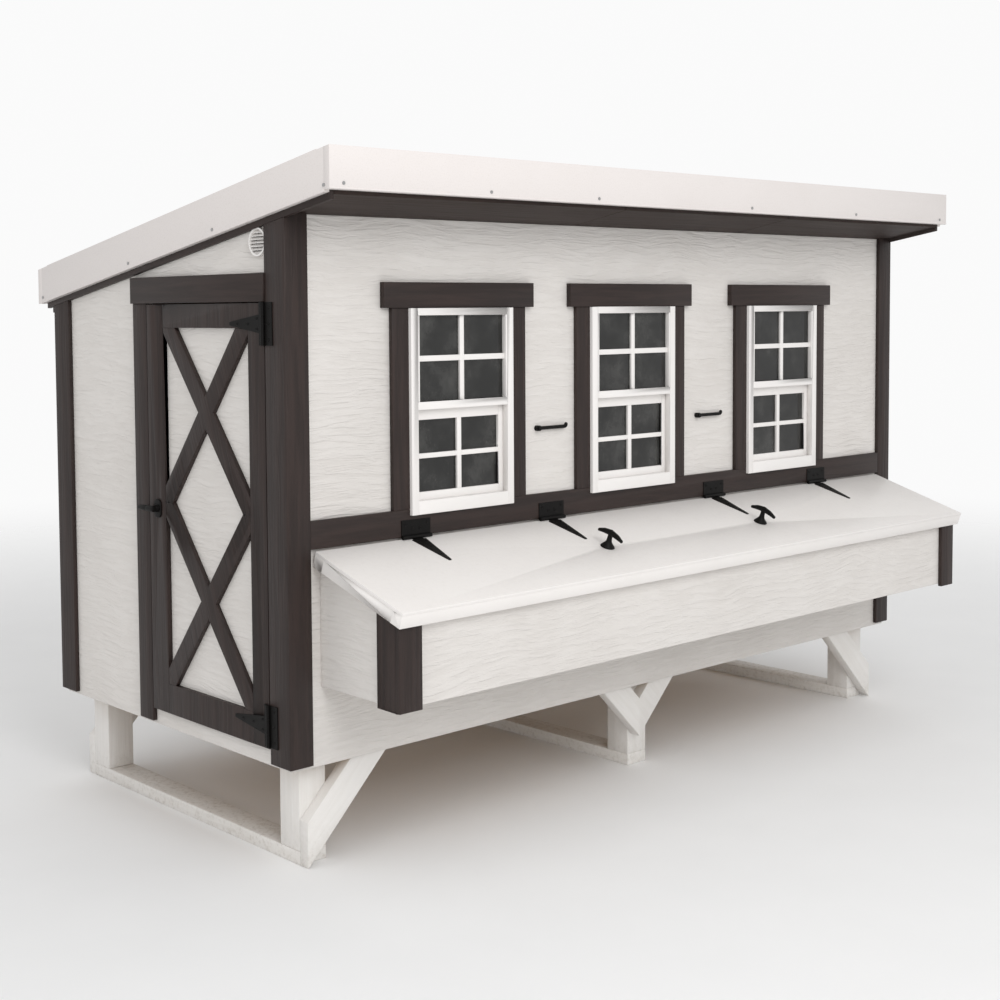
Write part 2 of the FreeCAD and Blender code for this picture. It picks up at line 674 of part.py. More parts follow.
RAFTER_COUNT = 7
rafter_list = []
for number in range(RAFTER_COUNT):
    u = f"({INNER} + {number} * ({INSIDE_LENGTH} - stud) / {RAFTER_COUNT - 1})"
    beam = roof_box(f"beam_{number + 1}", u, "stud", "0", SLOPE_LENGTH, RAFTER_FOOT, RAFTER_TOP)
    trimmed = common(f"beam_trimmed_{number + 1}", beam, roof_bay)
    rafter_list.append(cut(f"rafter_{number + 1}", trimmed, plates["front"], plates["rear"]))
group("rafters", *rafter_list)
common("roof_deck", roof_box("deck_sheet", "0", "body_length", "0", SLOPE_LENGTH, RAFTER_TOP, "-roof_metal"), roof_bay)
RIB_COUNT = 11
skin = roof_box("roof_skin", "0", "body_length", "0", SLOPE_LENGTH, "-roof_metal", "0")
ribs = []
for number in range(RIB_COUNT):
    u = f"({number} * (body_length - rib_width) / {RIB_COUNT - 1})"
    ribs.append(roof_box(f"rib_{number + 1}", u, "rib_width", "75", f"{SLOPE_LENGTH}", "-1", "rib_height"))
common("roof_sheet", fuse("ribbed_skin", skin, *ribs), roof_bay)

seams = ["board", "soffit_seam_1", "soffit_seam_2", RIGHT]
overhang_bay = box("overhang_bay", ("-200", "-roof_front_overhang + edge_board", "0"),
                   ("body_length + 400", "roof_front_overhang - edge_board + board", "roof_front_top"))
soffits = []
for number in range(3):
    panel = roof_box(f"soffit_sheet_{number + 1}", f"{seams[number]} + gap",
                     f"{seams[number + 1]} - {seams[number]} - 2 * gap", "0", SLOPE_LENGTH, SOFFIT_FOOT, RAFTER_FOOT)
    soffits.append(common(f"soffit_{number + 1}", panel, overhang_bay))
group("soffit_panels", *soffits)

EAVES = "-roof_side_overhang"
EAVES_LENGTH = "body_length + 2 * roof_side_overhang"
REAR_EDGE = "(body_depth + roof_rear_overhang)"
for end, v, outer in (
    ("front", "-roof_front_overhang", "-roof_front_overhang"),
    ("rear", f"{REAR_EDGE} - edge_board", REAR_EDGE),
):
    foot = f"({under_roof(outer, '0')} - edge_metal_height)"
    board_box = box(f"edge_{end}", (EAVES, v, foot), (EAVES_LENGTH, "edge_board", "edge_metal_height + 60"))
    cut(f"fascia_{end}", board_box, above_roof)
edge_ends = []
for side, u in (("left", EAVES), ("right", "body_length")):
    edge = roof_box(f"edge_{side}", u, "roof_side_overhang", "0", SLOPE_LENGTH, "-edge_metal_height", "0")
    edge_ends.append(common(f"edge_end_{side}", edge, roof_bay))
group("fascia_ends", *edge_ends)

rear_board = box("rear_board", ("board", "body_depth", f"{under_roof('body_depth', PACK)} - rear_frieze_height"),
                 (f"{RIGHT} - board", "rear_frieze", "rear_frieze_height + 60"))
group("frieze_boards", *rakes.values(), cut("rear_frieze_board", rear_board, above_rafter_foot))

screws = []
SCREW_Z = "(roof_front_top - edge_metal_height + screw_margin)"
for number, u in enumerate((26, 532, 961, 1682, 2269, 2812), start=1):
    screws.append(rod(f"front_screw_{number}", (f"{u} * body_length / 2840", "-roof_front_overhang - screw_head", SCREW_Z),
                      "y", "screw_radius", "screw_head"))
for number, v in enumerate((-195, 302, 747, 1280), start=1):
    z = under_roof(v, "edge_metal_height - screw_margin")
    screws.append(rod(f"left_screw_{number}", (f"{EAVES} - screw_head", str(v), z), "x", "screw_radius", "screw_head"))
    screws.append(rod(f"right_screw_{number}", ("body_length + roof_side_overhang", str(v), z), "x", "screw_radius",
                      "screw_head"))
group("fascia_screws", *screws)

# ---------------------------------------------------------------- nest boxes

PANEL_U = f"({NEST_INSET} + board)"
PANEL_V = "(nest_reach - board)"
INSIDE_U = f"({NEST_INSET} + board + siding)"
INSIDE_V = "(nest_reach - board - siding)"
NEST_INSIDE = f"(body_length - 2 * {INSIDE_U})"


def under_lid(v, drop):
    """Height of a surface this far below the lid's underside, v ahead of the front trim's outer face."""
    return f"(lid_back_height - ({v} - lid_back_gap) * tan(lid_pitch) - ({LID_DEPTH} + {drop}) / cos(lid_pitch))"


NEST_TOP = under_lid("nest_reach", "lid_rest_gap")
PANEL_TOP = under_lid(PANEL_V, "lid_rest_gap")
box("nest_floor", (INSIDE_U, f"-{INSIDE_V}", "nest_bottom"), (NEST_INSIDE, f"{INSIDE_V} + board", "siding"))
box("nest_front", (PANEL_U, f"-{PANEL_V}", "nest_bottom"),
    (f"body_length - 2 * {PANEL_U}", "siding", f"{PANEL_TOP} - nest_bottom"))
SIDE_OUTLINE = (
    ("0", "0"),
    (f"{INSIDE_V} + board", "0"),
    (f"{INSIDE_V} + board", f"{under_lid(INSIDE_V, 'lid_rest_gap')} - nest_bottom"),
    ("0", f"{under_lid('(-board)', 'lid_rest_gap')} - nest_bottom"),
)
partitions = []
for side, u in (("left", f"{PANEL_U} + siding"), ("right", f"body_length - {PANEL_U}")):
    wall = profile(f"nest_side_{side}", SIDE_OUTLINE, "siding", (0, -1, 0), (0, 0, 1))
    move(wall, u, "board", "nest_bottom")
    partitions.append(wall)
DIVIDER_OUTLINE = (
    ("0", "0"),
    (f"{INSIDE_V} + board", "0"),
    (f"{INSIDE_V} + board", f"{under_lid(INSIDE_V, 'lid_rest_gap + 8')} - nest_bottom - siding"),
    ("0", f"{under_lid('(-board)', 'lid_rest_gap + 8')} - nest_bottom - siding"),
)
DIVIDERS = int(SIZES["nest_dividers"])
for number in range(1, DIVIDERS + 1):
    wall = profile(f"divider_{number}", DIVIDER_OUTLINE, "siding", (0, -1, 0), (0, 0, 1))
    move(wall, f"{INSIDE_U} + {number} * {NEST_INSIDE} / (nest_dividers + 1) + siding / 2", "board",
         "nest_bottom + siding")
    partitions.append(wall)
group("nest_partitions", *partitions)

nest_boards = []
TRIM_FOOT = "(nest_bottom - nest_trim_drop)"
FLANK_OUTLINE = (
    ("0", "0"),
    ("trim_width", "0"),
    ("trim_width", f"{under_lid(PANEL_V, 'lid_rest_gap')} - {TRIM_FOOT}"),
    ("0", f"{under_lid(f'({PANEL_V} - trim_width)', 'lid_rest_gap')} - {TRIM_FOOT}"),
)
for side, face_u, flank_u in (
    ("left", NEST_INSET, f"{NEST_INSET} + board"),
    ("right", f"body_length - {NEST_INSET} - trim_width", f"body_length - {NEST_INSET}"),
):
    nest_boards.append(box(f"nest_face_{side}", (face_u, "-nest_reach", TRIM_FOOT),
                           ("trim_width", "board", f"{NEST_TOP} - {TRIM_FOOT}")))
    flank = profile(f"nest_flank_{side}", FLANK_OUTLINE, "board", (0, -1, 0), (0, 0, 1))
    move(flank, flank_u, f"-({PANEL_V} - trim_width)", TRIM_FOOT)
    nest_boards.append(flank)
group("nest_corner_trim", *nest_boards)

# ---------------------------------------------------------------- nest lid

LID_U = f"({NEST_INSET} - lid_side_overhang)"
LID_WIDTH = f"(body_length - 2 * {LID_U})"
FRAME_LOW = f"(-{LID_DEPTH})"
RIB_COUNT_LID = 6
lid_box("lid_top_sheet", LID_U, LID_WIDTH, "0", "lid_length", "-lid_skin", "0")
handle_places = ("lid_handle_1", "lid_handle_2")
stem_holes = []
for number, u in enumerate(handle_places, start=1):
    hole = doc.addObject("Part::Cylinder", f"stem_hole_{number}")
    bind(hole, "Radius", "handle_stem_radius + 0.5")
    bind(hole, "Height", "lid_skin + 20")
    turn(hole, (1, 0, 0), "lid_pitch")
    lid_place(hole, u, "lid_handle_reach", "-lid_skin - 10")
    stem_holes.append(hole)
cut("lid_top", doc.getObject("lid_top_sheet"), *stem_holes)
lid_rails = [
    lid_box("lid_rail_back", LID_U, LID_WIDTH, "0", "lid_rail", FRAME_LOW, "-lid_skin"),
    lid_box("lid_rail_front", LID_U, LID_WIDTH, "lid_length - lid_rail", "lid_length", FRAME_LOW, "-lid_skin"),
]
for number in range(RIB_COUNT_LID):
    u = f"({LID_U} + {number} * ({LID_WIDTH} - lid_rail) / {RIB_COUNT_LID - 1})"
    lid_rails.append(lid_box(f"lid_rib_{number + 1}", u, "lid_rail", "lid_rail", "lid_length - lid_rail",
                             FRAME_LOW, "-lid_skin"))
group("lid_frame", *lid_rails)

# hinges between the belt rail and the lid
HINGE_REACH = 4
HINGE_RISE = "(knuckle_radius + 0.5)"
PIN_V = f"(-lid_back_gap - {HINGE_REACH} * cos(lid_pitch) - {HINGE_RISE} * sin(lid_pitch))"
PIN_Z = f"(lid_back_height - {HINGE_REACH} * sin(lid_pitch) + {HINGE_RISE} * cos(lid_pitch))"
THIRD = "(lid_leaf_width / 3)"
leaves = []
straps = []
for number in (1, 2, 3, 4):
    u = f"(lid_hinge_{number} - lid_leaf_width / 2)"
    plate = box(f"lid_leaf_plate_{number}", (u, "-leaf", f"{PIN_Z} - 2"), ("lid_leaf_width", "leaf", "lid_leaf_height"))
    pin = rod(f"lid_pin_{number}", (u, PIN_V, PIN_Z), "x", "pin_radius", "lid_leaf_width")
    ends = [rod(f"lid_knuckle_{number}_{side}", (place, PIN_V, PIN_Z), "x", "knuckle_radius", f"{THIRD} - 0.4")
            for side, place in (("left", u), ("right", f"{u} + 2 * {THIRD} + 0.4"))]
    room = rod(f"lid_room_{number}", (f"{u} + {THIRD} - 0.4", PIN_V, PIN_Z), "x", "knuckle_radius + 0.6",
               f"{THIRD} + 0.8")
    leaves.append(fuse(f"lid_leaf_{number}", cut(f"lid_leaf_cut_{number}", plate, room), *ends, pin))
    barrel = rod(f"lid_barrel_{number}", (f"{u} + {THIRD}", PIN_V, PIN_Z), "x", "knuckle_radius", THIRD)
    tongue = lid_box(f"lid_tongue_{number}", f"{u} + {THIRD}", THIRD, str(HINGE_REACH), f"{HINGE_REACH} + 14", "0",
                     "leaf")
    strap = profile(f"lid_strap_blade_{number}", (
        ("0", "0"), ("lid_strap_root", "0"),
        ("lid_strap_root / 2 + strap_tip / 2", "lid_strap_length - 20"),
        ("lid_strap_root / 2 + 4", "lid_strap_length - 10"),
        ("lid_strap_root / 2 - 4", "lid_strap_length - 10"),
        ("lid_strap_root / 2 - strap_tip / 2", "lid_strap_length - 20"),
    ), "leaf", (1, 0, 0), (0, 1, 0))
    strap.Placement = FreeCAD.Placement(FreeCAD.Vector(), FreeCAD.Rotation(FreeCAD.Vector(1, 0, 0), 1))
    bind(strap, "Placement.Rotation.Angle", "180 + lid_pitch")
    lid_place(strap, f"{u} + lid_leaf_width / 2 - lid_strap_root / 2", f"{HINGE_REACH} + 10", "leaf")
    bore = rod(f"lid_bore_{number}", (u, PIN_V, PIN_Z), "x", "pin_radius + pin_clearance", "lid_leaf_width")
    straps.append(cut(f"lid_strap_{number}", fuse(f"lid_strap_solid_{number}", barrel, tongue, strap), bore))
group("lid_hinge_leaves", *leaves)
group("lid_hinge_straps", *straps)


def lid_rod(label, u, reach, low, high, radius):
    """Cylinder square to the lid."""
    thing = doc.addObject("Part::Cylinder", label)
    bind(thing, "Radius", radius)
    bind(thing, "Height", f"{high} - ({low})")
    turn(thing, (1, 0, 0), "lid_pitch")
    lid_place(thing, u, reach, low)
    return thing


def lid_cone(label, u, low, high, foot_radius, top_radius):
    """Cone square to the lid, on the handle's line."""
    thing = doc.addObject("Part::Cone", label)
    bind(thing, "Radius1", foot_radius)
    bind(thing, "Radius2", top_radius)
    bind(thing, "Height", f"{high} - ({low})")
    turn(thing, (1, 0, 0), "lid_pitch")
    lid_place(thing, u, "lid_handle_reach", low)
    return thing


for side, u in (("left", "lid_handle_1"), ("right", "lid_handle_2")):
    base = lid_cone(f"handle_base_{side}", u, "0.4", "handle_base", "handle_base_radius", "handle_base_radius * 0.55")
    spindle = lid_rod(f"handle_spindle_{side}", u, "lid_handle_reach", f"{FRAME_LOW} + 6", "handle_base",
                      "handle_stem_radius")
    stem = lid_cone(f"handle_stem_{side}", u, "handle_base - 1", "handle_stem", "handle_stem_radius + 2",
                    "handle_stem_radius - 1")
    arms = []
    for end, sense in (("down", 1), ("up", -1)):
        arm = doc.addObject("Part::Cone", f"handle_arm_{side}_{end}")
        bind(arm, "Radius1", "handle_bar_radius + 1")
        bind(arm, "Radius2", "handle_bar_radius * 0.55")
        bind(arm, "Height", "handle_bar / 2 / cos(handle_droop)")
        axis = FreeCAD.Vector(1, 0, 0)
        arm.Placement = FreeCAD.Placement(FreeCAD.Vector(), FreeCAD.Rotation(axis, 1))
        bind(arm, "Placement.Rotation.Angle", f"lid_pitch + {sense} * (90 + handle_droop)")
        lid_place(arm, u, "lid_handle_reach", "handle_stem")
        arms.append(arm)
    knob = doc.addObject("Part::Sphere", f"handle_knob_{side}")
    bind(knob, "Radius", "handle_bar_radius + 1")
    lid_place(knob, u, "lid_handle_reach", "handle_stem")
    cam_blade = lid_box(f"handle_cam_{side}", f"{u} - cam_width / 2", "cam_width", "lid_handle_reach - cam_width / 2",
                        "lid_handle_reach + cam_length - cam_width / 2", f"{FRAME_LOW} + 6", f"{FRAME_LOW} + 6 + cam")
    fuse(f"lid_handle_{side}", base, spindle, stem, knob, *arms, cam_blade)

# ---------------------------------------------------------------- access door in the left end

LATCH_V = f"({DOOR_FAR} - latch_inset)"
spindle_hole = rod("latch_hole", ("-50", LATCH_V, "latch_height"), "x", "spindle_radius + pin_clearance", "150")
door_sheet = box("door_sheet", ("board", DOOR_EDGE, "door_bottom"),
                 ("door_panel", "door_width", "door_top - door_bottom"))
cut("door_panel", door_sheet, spindle_hole)
CLEAR_WIDTH = "(door_width - door_stile - door_latch_stile)"
FIELD_FOOT = "(door_bottom + door_bottom_rail)"
FIELD_TOP = "(door_top - door_top_rail)"
FIELD_V = f"({DOOR_EDGE} + door_stile)"
group("door_frame",
      box("door_stile_front", ("0", DOOR_EDGE, "door_bottom"), ("board", "door_stile", "door_top - door_bottom")),
      cut("door_stile_drilled",
          box("door_stile_rear", ("0", f"{DOOR_FAR} - door_latch_stile", "door_bottom"),
              ("board", "door_latch_stile", "door_top - door_bottom")),
          spindle_hole),
      box("door_rail_bottom", ("0", FIELD_V, "door_bottom"), ("board", CLEAR_WIDTH, "door_bottom_rail")),
      box("door_rail_top", ("0", FIELD_V, FIELD_TOP), ("board", CLEAR_WIDTH, "door_top_rail")))

FIELD_HEIGHT = f"({FIELD_TOP} - {FIELD_FOOT})"
CROSS_PITCH = f"({FIELD_HEIGHT} * door_cross_share)"
CROSS_ANGLE = f"atan({CROSS_PITCH} / {CLEAR_WIDTH})"
CROSS_RUN = f"sqrt({CLEAR_WIDTH} ^ 2 + {CROSS_PITCH} ^ 2)"
cross_pieces = []
# the upper cross is trimmed by the top rail
for name, foot, height in (("lower", FIELD_FOOT, CROSS_PITCH),
                           ("upper", f"({FIELD_FOOT} + {CROSS_PITCH})", f"({FIELD_HEIGHT} - {CROSS_PITCH})")):
    middle_z = f"({foot} + {CROSS_PITCH} / 2)"
    cell = box(f"cell_{name}", ("0", FIELD_V, foot), ("board", CLEAR_WIDTH, height))
    bars = []
    for lean, sense in (("up", 1), ("down", -1)):
        bar_box = doc.addObject("Part::Box", f"cross_{name}_{lean}")
        bind(bar_box, "Length", "board")
        bind(bar_box, "Width", f"{CROSS_RUN} + 200")
        bind(bar_box, "Height", "door_brace_width")
        turn(bar_box, (sense, 0, 0), CROSS_ANGLE)
        half = f"({CROSS_RUN} / 2 + 100)"
        v = (f"{FIELD_V} + {CLEAR_WIDTH} / 2 - {half} * cos({CROSS_ANGLE})"
             f" + {sense} * door_brace_width / 2 * sin({CROSS_ANGLE})")
        z = f"{middle_z} - {sense} * {half} * sin({CROSS_ANGLE}) - door_brace_width / 2 * cos({CROSS_ANGLE})"
        move(bar_box, "0", v, z)
        bars.append(bar_box)
    cross_pieces.append(common(f"cross_{name}", fuse(f"cross_bars_{name}", *bars), cell))
group("door_cross_braces", *cross_pieces)

# strap hinges: the pin stands just in front of the gap between corner trim and door
DOOR_PIN_U = "(-door_pin_proud)"
DOOR_PIN_V = f"({CORNER_SIDE} + door_gap / 2)"
LEAF_THIRD = "(door_leaf_height / 3)"
door_leaves = []
door_straps = []
for name, z in (("top", "door_hinge_top"), ("bottom", "door_hinge_bottom")):
    foot = f"({z} - door_leaf_height / 2)"
    plate = box(f"door_leaf_plate_{name}", ("-leaf", f"{CORNER_SIDE} - door_leaf_width", foot),
                ("leaf", "door_leaf_width", "door_leaf_height"))
    room = rod(f"door_room_{name}", (DOOR_PIN_U, DOOR_PIN_V, f"{foot} + {LEAF_THIRD} - 0.4"), "z",
               "knuckle_radius + 0.6", f"{LEAF_THIRD} + 0.8")
    ends = [rod(f"door_knuckle_{name}_{part}", (DOOR_PIN_U, DOOR_PIN_V, start), "z", "knuckle_radius",
                f"{LEAF_THIRD} - 0.4")
            for part, start in (("low", foot), ("high", f"{foot} + 2 * {LEAF_THIRD} + 0.4"))]
    webs = [box(f"door_web_{name}_{part}", ("-leaf", f"{CORNER_SIDE} - 4", start),
                ("leaf - 0.6", "5", f"{LEAF_THIRD} - 0.4"))
            for part, start in (("low", foot), ("high", f"{foot} + 2 * {LEAF_THIRD} + 0.4"))]
    pin = rod(f"door_pin_{name}", (DOOR_PIN_U, DOOR_PIN_V, foot), "z", "pin_radius", "door_leaf_height")
    door_leaves.append(fuse(f"door_leaf_{name}", cut(f"door_leaf_cut_{name}", plate, room), *webs, *ends, pin))
    barrel = rod(f"door_barrel_{name}", (DOOR_PIN_U, DOOR_PIN_V, f"{foot} + {LEAF_THIRD}"), "z", "knuckle_radius",
                 LEAF_THIRD)
    tongue = box(f"door_tongue_{name}", ("-leaf - 0.4", DOOR_PIN_V, f"{foot} + {LEAF_THIRD}"),
                 ("leaf", "16", LEAF_THIRD))
    upright = box(f"door_upright_{name}", ("-leaf - 0.4", f"{DOOR_PIN_V} + knuckle_radius + 1", foot),
                  ("leaf", "14", "door_leaf_height"))
    blade = profile(f"door_strap_blade_{name}", (
        ("0", "0"), ("door_strap_root", "0"),
        ("door_strap_root / 2 + strap_tip / 2", "door_strap_length - 20"),
        ("door_strap_root / 2 + 4", "door_strap_length - 10"),
        ("door_strap_root / 2 - 4", "door_strap_length - 10"),
        ("door_strap_root / 2 - strap_tip / 2", "door_strap_length - 20"),
    ), "leaf", (0, 0, 1), (0, 1, 0))
    move(blade, "-0.4", f"{DOOR_PIN_V} + 10", f"{z} - door_strap_root / 2")
    bore = rod(f"door_bore_{name}", (DOOR_PIN_U, DOOR_PIN_V, foot), "z", "pin_radius + pin_clearance",
               "door_leaf_height")
    solid = fuse(f"door_strap_solid_{name}", barrel, tongue, upright, blade)
    door_straps.append(cut(f"door_strap_{name}", solid, bore))
group("door_hinge_leaves", *door_leaves)
group("door_hinge_straps", *door_straps)

# turn latch
plate_box = box("latch_plate_box",
                ("-latch_plate", f"{LATCH_V} - latch_plate_width / 2", "latch_height - latch_plate_height / 2"),
                ("latch_plate", "latch_plate_width", "latch_plate_height"))
cut("door_latch_plate", plate_box, spindle_hole)
lever = rod("latch_lever_rod", ("-latch_stand_off", f"{LATCH_V} - 12", "latch_height"), "y", "lever_radius",
            "latch_lever + 12")
fuse("door_handle", lever,
     rod("latch_spindle", ("-latch_stand_off", LATCH_V, "latch_height"), "x", "spindle_radius",
         "latch_stand_off + board + door_panel + 8"),
     box("latch_cam_blade", ("board + door_panel + 3", f"{LATCH_V} - 8", "latch_height - latch_cam"),
         ("5", "16", "latch_cam + 8")))

# ---------------------------------------------------------------- hold-open hooks on the front wall

eyes = []
RING = "(hook_radius + hook_ring_wall)"
for side, u in HOOK_PLACES.items():
    v = "(board - hook_stand_off)"
    head_v = f"({v} - hook_radius - 3)"
    eyes.append(fuse(f"hook_eye_{side}",
                     rod(f"eye_plate_{side}", (u, "board - 3", "hook_height"), "y", "eye_plate_radius", "3"),
                     rod(f"eye_stem_{side}", (u, head_v, "hook_height"), "y", "pin_radius", f"board - {head_v}"),
                     rod(f"eye_head_{side}", (u, head_v, "hook_height"), "y", "eye_radius", "2.5")))
    ring = rod(f"hook_ring_{side}", (u, f"{v} - hook_radius", "hook_height"), "y", RING, "2 * hook_radius")
    ring_bore = rod(f"hook_bore_{side}", (u, f"{v} - 20", "hook_height"), "y", "pin_radius + pin_clearance", "60")
    end_u = f"({u} + {HOOK_LENGTH} - hook_curl)"
    shank = rod(f"hook_shank_{side}", (u, v, "hook_height"), "x", "hook_radius",
                f"{HOOK_LENGTH} - hook_curl")
    curl = doc.addObject("Part::Torus", f"hook_curl_{side}")
    bind(curl, "Radius1", "hook_curl")
    bind(curl, "Radius2", "hook_radius")
    bind(curl, "Angle3", "90")
    # the quarter ring turns up from the end of the shank
    across = FreeCAD.Vector(0, 0, -1)
    curl.Placement = FreeCAD.Placement(
        FreeCAD.Vector(), FreeCAD.Rotation(across, FreeCAD.Vector(1, 0, 0), across.cross(FreeCAD.Vector(1, 0, 0)), "XYZ"))
    move(curl, end_u, v, "hook_height + hook_curl")
    tip = ball(f"hook_tip_{side}", (f"{end_u} + hook_curl", v, "hook_height + hook_curl"), "hook_radius")
    cut(f"hook_{side}", fuse(f"hook_solid_{side}", ring, shank, curl, tip), ring_bore)
group("hook_eyes", *eyes)

# ---------------------------------------------------------------- vent

vent_ring = cut("vent_ring", rod("vent_body", ("board - 8", VENT_V, "vent_height"), "x", "vent_radius", "siding + 8"),
                rod("vent_inner", ("-10", VENT_V, "vent_height"), "x", "vent_radius - 5", "100"))
louvres = []
LOUVRES = 7
for number in range(LOUVRES):
    slat = doc.addObject("Part::Box", f"louvre_box_{number + 1}")
    bind(slat, "Length", "12")
    bind(slat, "Width", "2 * vent_radius")
    bind(slat, "Height", "1.6")
    turn(slat, (0, -1, 0), "35")
    move(slat, "board - 6", f"{VENT_V} - vent_radius",
         f"vent_height + ({number} - {(LOUVRES - 1) / 2}) * (2 * vent_radius - 12) / {LOUVRES} - 4")
    louvres.append(slat)
vent_disc = rod("vent_disc", ("board - 8", VENT_V, "vent_height"), "x", "vent_radius - 4", "siding + 8")
whole_vent = fuse("whole_vent", vent_ring, common("louvre_bank", fuse("louvre_set", *louvres), vent_disc))
cut("vent", whole_vent, rakes["left"])

# ---------------------------------------------------------------- inside

CLEAT = "38"
roosts = [box(f"roost_{name}", (INNER, v, "roost_height"), (INSIDE_LENGTH, "roost_side", "roost_side"))
          for name, v in (("front", ROOST_FRONT_V), ("rear", ROOST_REAR_V))]
for side, u in (("left", INNER), ("right", f"(body_length - {INNER} - {CLEAT})")):
    roosts.append(box(f"roost_cleat_{side}", (u, f"{ROOST_FRONT_V} - 20", f"roost_height - {CLEAT}"),
                      (CLEAT, f"{ROOST_SPACING} + roost_side + 40", CLEAT)))
group("roost_bars", *roosts)

# ---------------------------------------------------------------- hen door in the right end

OUTER_RIGHT = "(body_length - board)"
box("pop_door", (f"{OUTER_RIGHT} + 0.6", f"{HEN_DOOR_V} - hen_door_lap", f"{DECK_TOP} - 12"),
    ("hen_door_panel", "hen_door_width + 2 * hen_door_lap", "hen_door_height + 30"))
guides = []
GUIDE_FOOT = f"({DECK_TOP} - 13)"
GUIDE_HEIGHT = "(hen_door_height + hen_door_travel + 45)"
for side, inner_edge, sense in (("front", f"({HEN_DOOR_V} - hen_door_lap - 0.6)", -1),
                                ("rear", f"({HEN_FAR} + hen_door_lap + 0.6)", 1)):
    spacer_v = f"({inner_edge} - 14)" if sense < 0 else inner_edge
    cover_v = f"({inner_edge} - 14)" if sense < 0 else f"({inner_edge} - hen_door_guide + 14)"
    guides.append(box(f"guide_spacer_{side}", (OUTER_RIGHT, spacer_v, GUIDE_FOOT), ("hen_door_panel + 1.2", "14", GUIDE_HEIGHT)))
    guides.append(box(f"guide_cover_{side}", (f"{OUTER_RIGHT} + hen_door_panel + 1.2", cover_v, GUIDE_FOOT),
                      ("9", "hen_door_guide", GUIDE_HEIGHT)))
guides.append(box("guide_rest", (OUTER_RIGHT, f"{HEN_DOOR_V} - hen_door_lap - 14.6", f"{GUIDE_FOOT} - 20"),
                  ("hen_door_panel + 1.2", "hen_door_width + 2 * hen_door_lap + 29.2", "20")))
group("pop_door_guides", *guides)

# ---------------------------------------------------------------- check and write

NODES = (
    "skid_runners", "skid_legs", "skid_braces", "floor_frame", "floor_deck",
    "front_siding", "rear_siding", "left_siding", "right_siding", "wall_frame",
    "corner_trim_front_left", "corner_trim_front_right", "corner_trim_rear_left", "corner_trim_rear_right",
    "belt_rail", "window_trim", "door_trim", "window_frame_1", "window_frame_2", "window_frame_3",
    "upper_panes", "sash_1", "sash_2", "sash_3", "sash_pane_1", "sash_pane_2", "sash_pane_3",
    "rafters", "soffit_panels", "roof_deck", "roof_sheet", "fascia_front", "fascia_rear", "fascia_ends",
    "frieze_boards", "fascia_screws", "nest_floor", "nest_front", "nest_partitions", "nest_corner_trim",
    "lid_frame", "lid_top", "lid_hinge_leaves", "lid_hinge_straps", "lid_handle_left", "lid_handle_right",
    "door_panel", "door_frame", "door_cross_braces", "door_hinge_leaves", "door_hinge_straps",
    "door_latch_plate", "door_handle", "hook_left", "hook_right", "hook_eyes", "vent", "roost_bars",
    "pop_door", "pop_door_guides",
)
doc.removeObject("Probe")
doc.recompute()
for thing in doc.Objects:
    if "Invalid" in thing.State or "Error" in thing.State:
        raise RuntimeError(f"{thing.Label} did not build: {thing.State}")
    shape = getattr(thing, "Shape", None)
    if shape is not None and not thing.isDerivedFrom("Sketcher::SketchObject") and hasattr(shape, "isNull"):
        if not thing.isDerivedFrom("App::OriginFeature") and (shape.isNull() or not shape.isValid()):
            raise RuntimeError(f"{thing.Label} has no valid shape")
os.makedirs("parts", exist_ok=True)
for name in NODES:
    found = doc.getObjectsByLabel(name)
    if len(found) != 1:
        raise RuntimeError(f"{name} is not one object")
    found[0].Shape.exportStep(os.path.join("parts", f"{name}.step"))
print(f"wrote {len(NODES)} parts")
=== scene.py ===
import json
import math
import random

import bmesh
import bpy
from mathutils import Matrix, Vector


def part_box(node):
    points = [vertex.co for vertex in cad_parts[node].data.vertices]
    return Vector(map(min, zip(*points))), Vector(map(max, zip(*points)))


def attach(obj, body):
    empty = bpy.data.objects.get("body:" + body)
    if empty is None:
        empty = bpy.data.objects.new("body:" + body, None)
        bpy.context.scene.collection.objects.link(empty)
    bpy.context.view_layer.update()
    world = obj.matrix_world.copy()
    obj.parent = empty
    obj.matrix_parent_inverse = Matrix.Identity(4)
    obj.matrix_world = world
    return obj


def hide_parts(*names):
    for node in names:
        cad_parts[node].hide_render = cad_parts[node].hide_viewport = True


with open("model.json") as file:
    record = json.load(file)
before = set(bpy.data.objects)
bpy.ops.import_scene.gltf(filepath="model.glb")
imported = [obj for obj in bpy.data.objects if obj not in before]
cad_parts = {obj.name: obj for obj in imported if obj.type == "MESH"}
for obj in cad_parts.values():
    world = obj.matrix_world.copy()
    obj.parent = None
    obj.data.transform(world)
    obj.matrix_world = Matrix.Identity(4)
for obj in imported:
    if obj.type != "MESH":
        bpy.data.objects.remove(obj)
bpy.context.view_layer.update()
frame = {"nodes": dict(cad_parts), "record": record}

# A raised hen house: grained white sheet walls, brown boards, white skids, black iron fittings.
# Every length is in metres.

rng = random.Random(7)
scene = bpy.context.scene
NODES = frame["nodes"]
BODY_OF = {node: body for body, nodes in frame["record"]["behaviour"]["bodies"].items() for node in nodes}
JOINTS = {joint["name"]: joint for joint in frame["record"]["behaviour"]["joints"]}


# ---------------------------------------------------------------- shader groups

def new_group(name, inputs, outputs):
    """Empty shader node group with its named sockets, and the nodes at its two ends."""
    group = bpy.data.node_groups.new(name, "ShaderNodeTree")
    for socket, kind, value in inputs:
        made = group.interface.new_socket(name=socket, in_out="INPUT", socket_type=f"NodeSocket{kind}")
        if value is not None:
            made.default_value = value
    for socket, kind in outputs:
        group.interface.new_socket(name=socket, in_out="OUTPUT", socket_type=f"NodeSocket{kind}")
    return group, group.nodes.new("NodeGroupInput"), group.nodes.new("NodeGroupOutput")


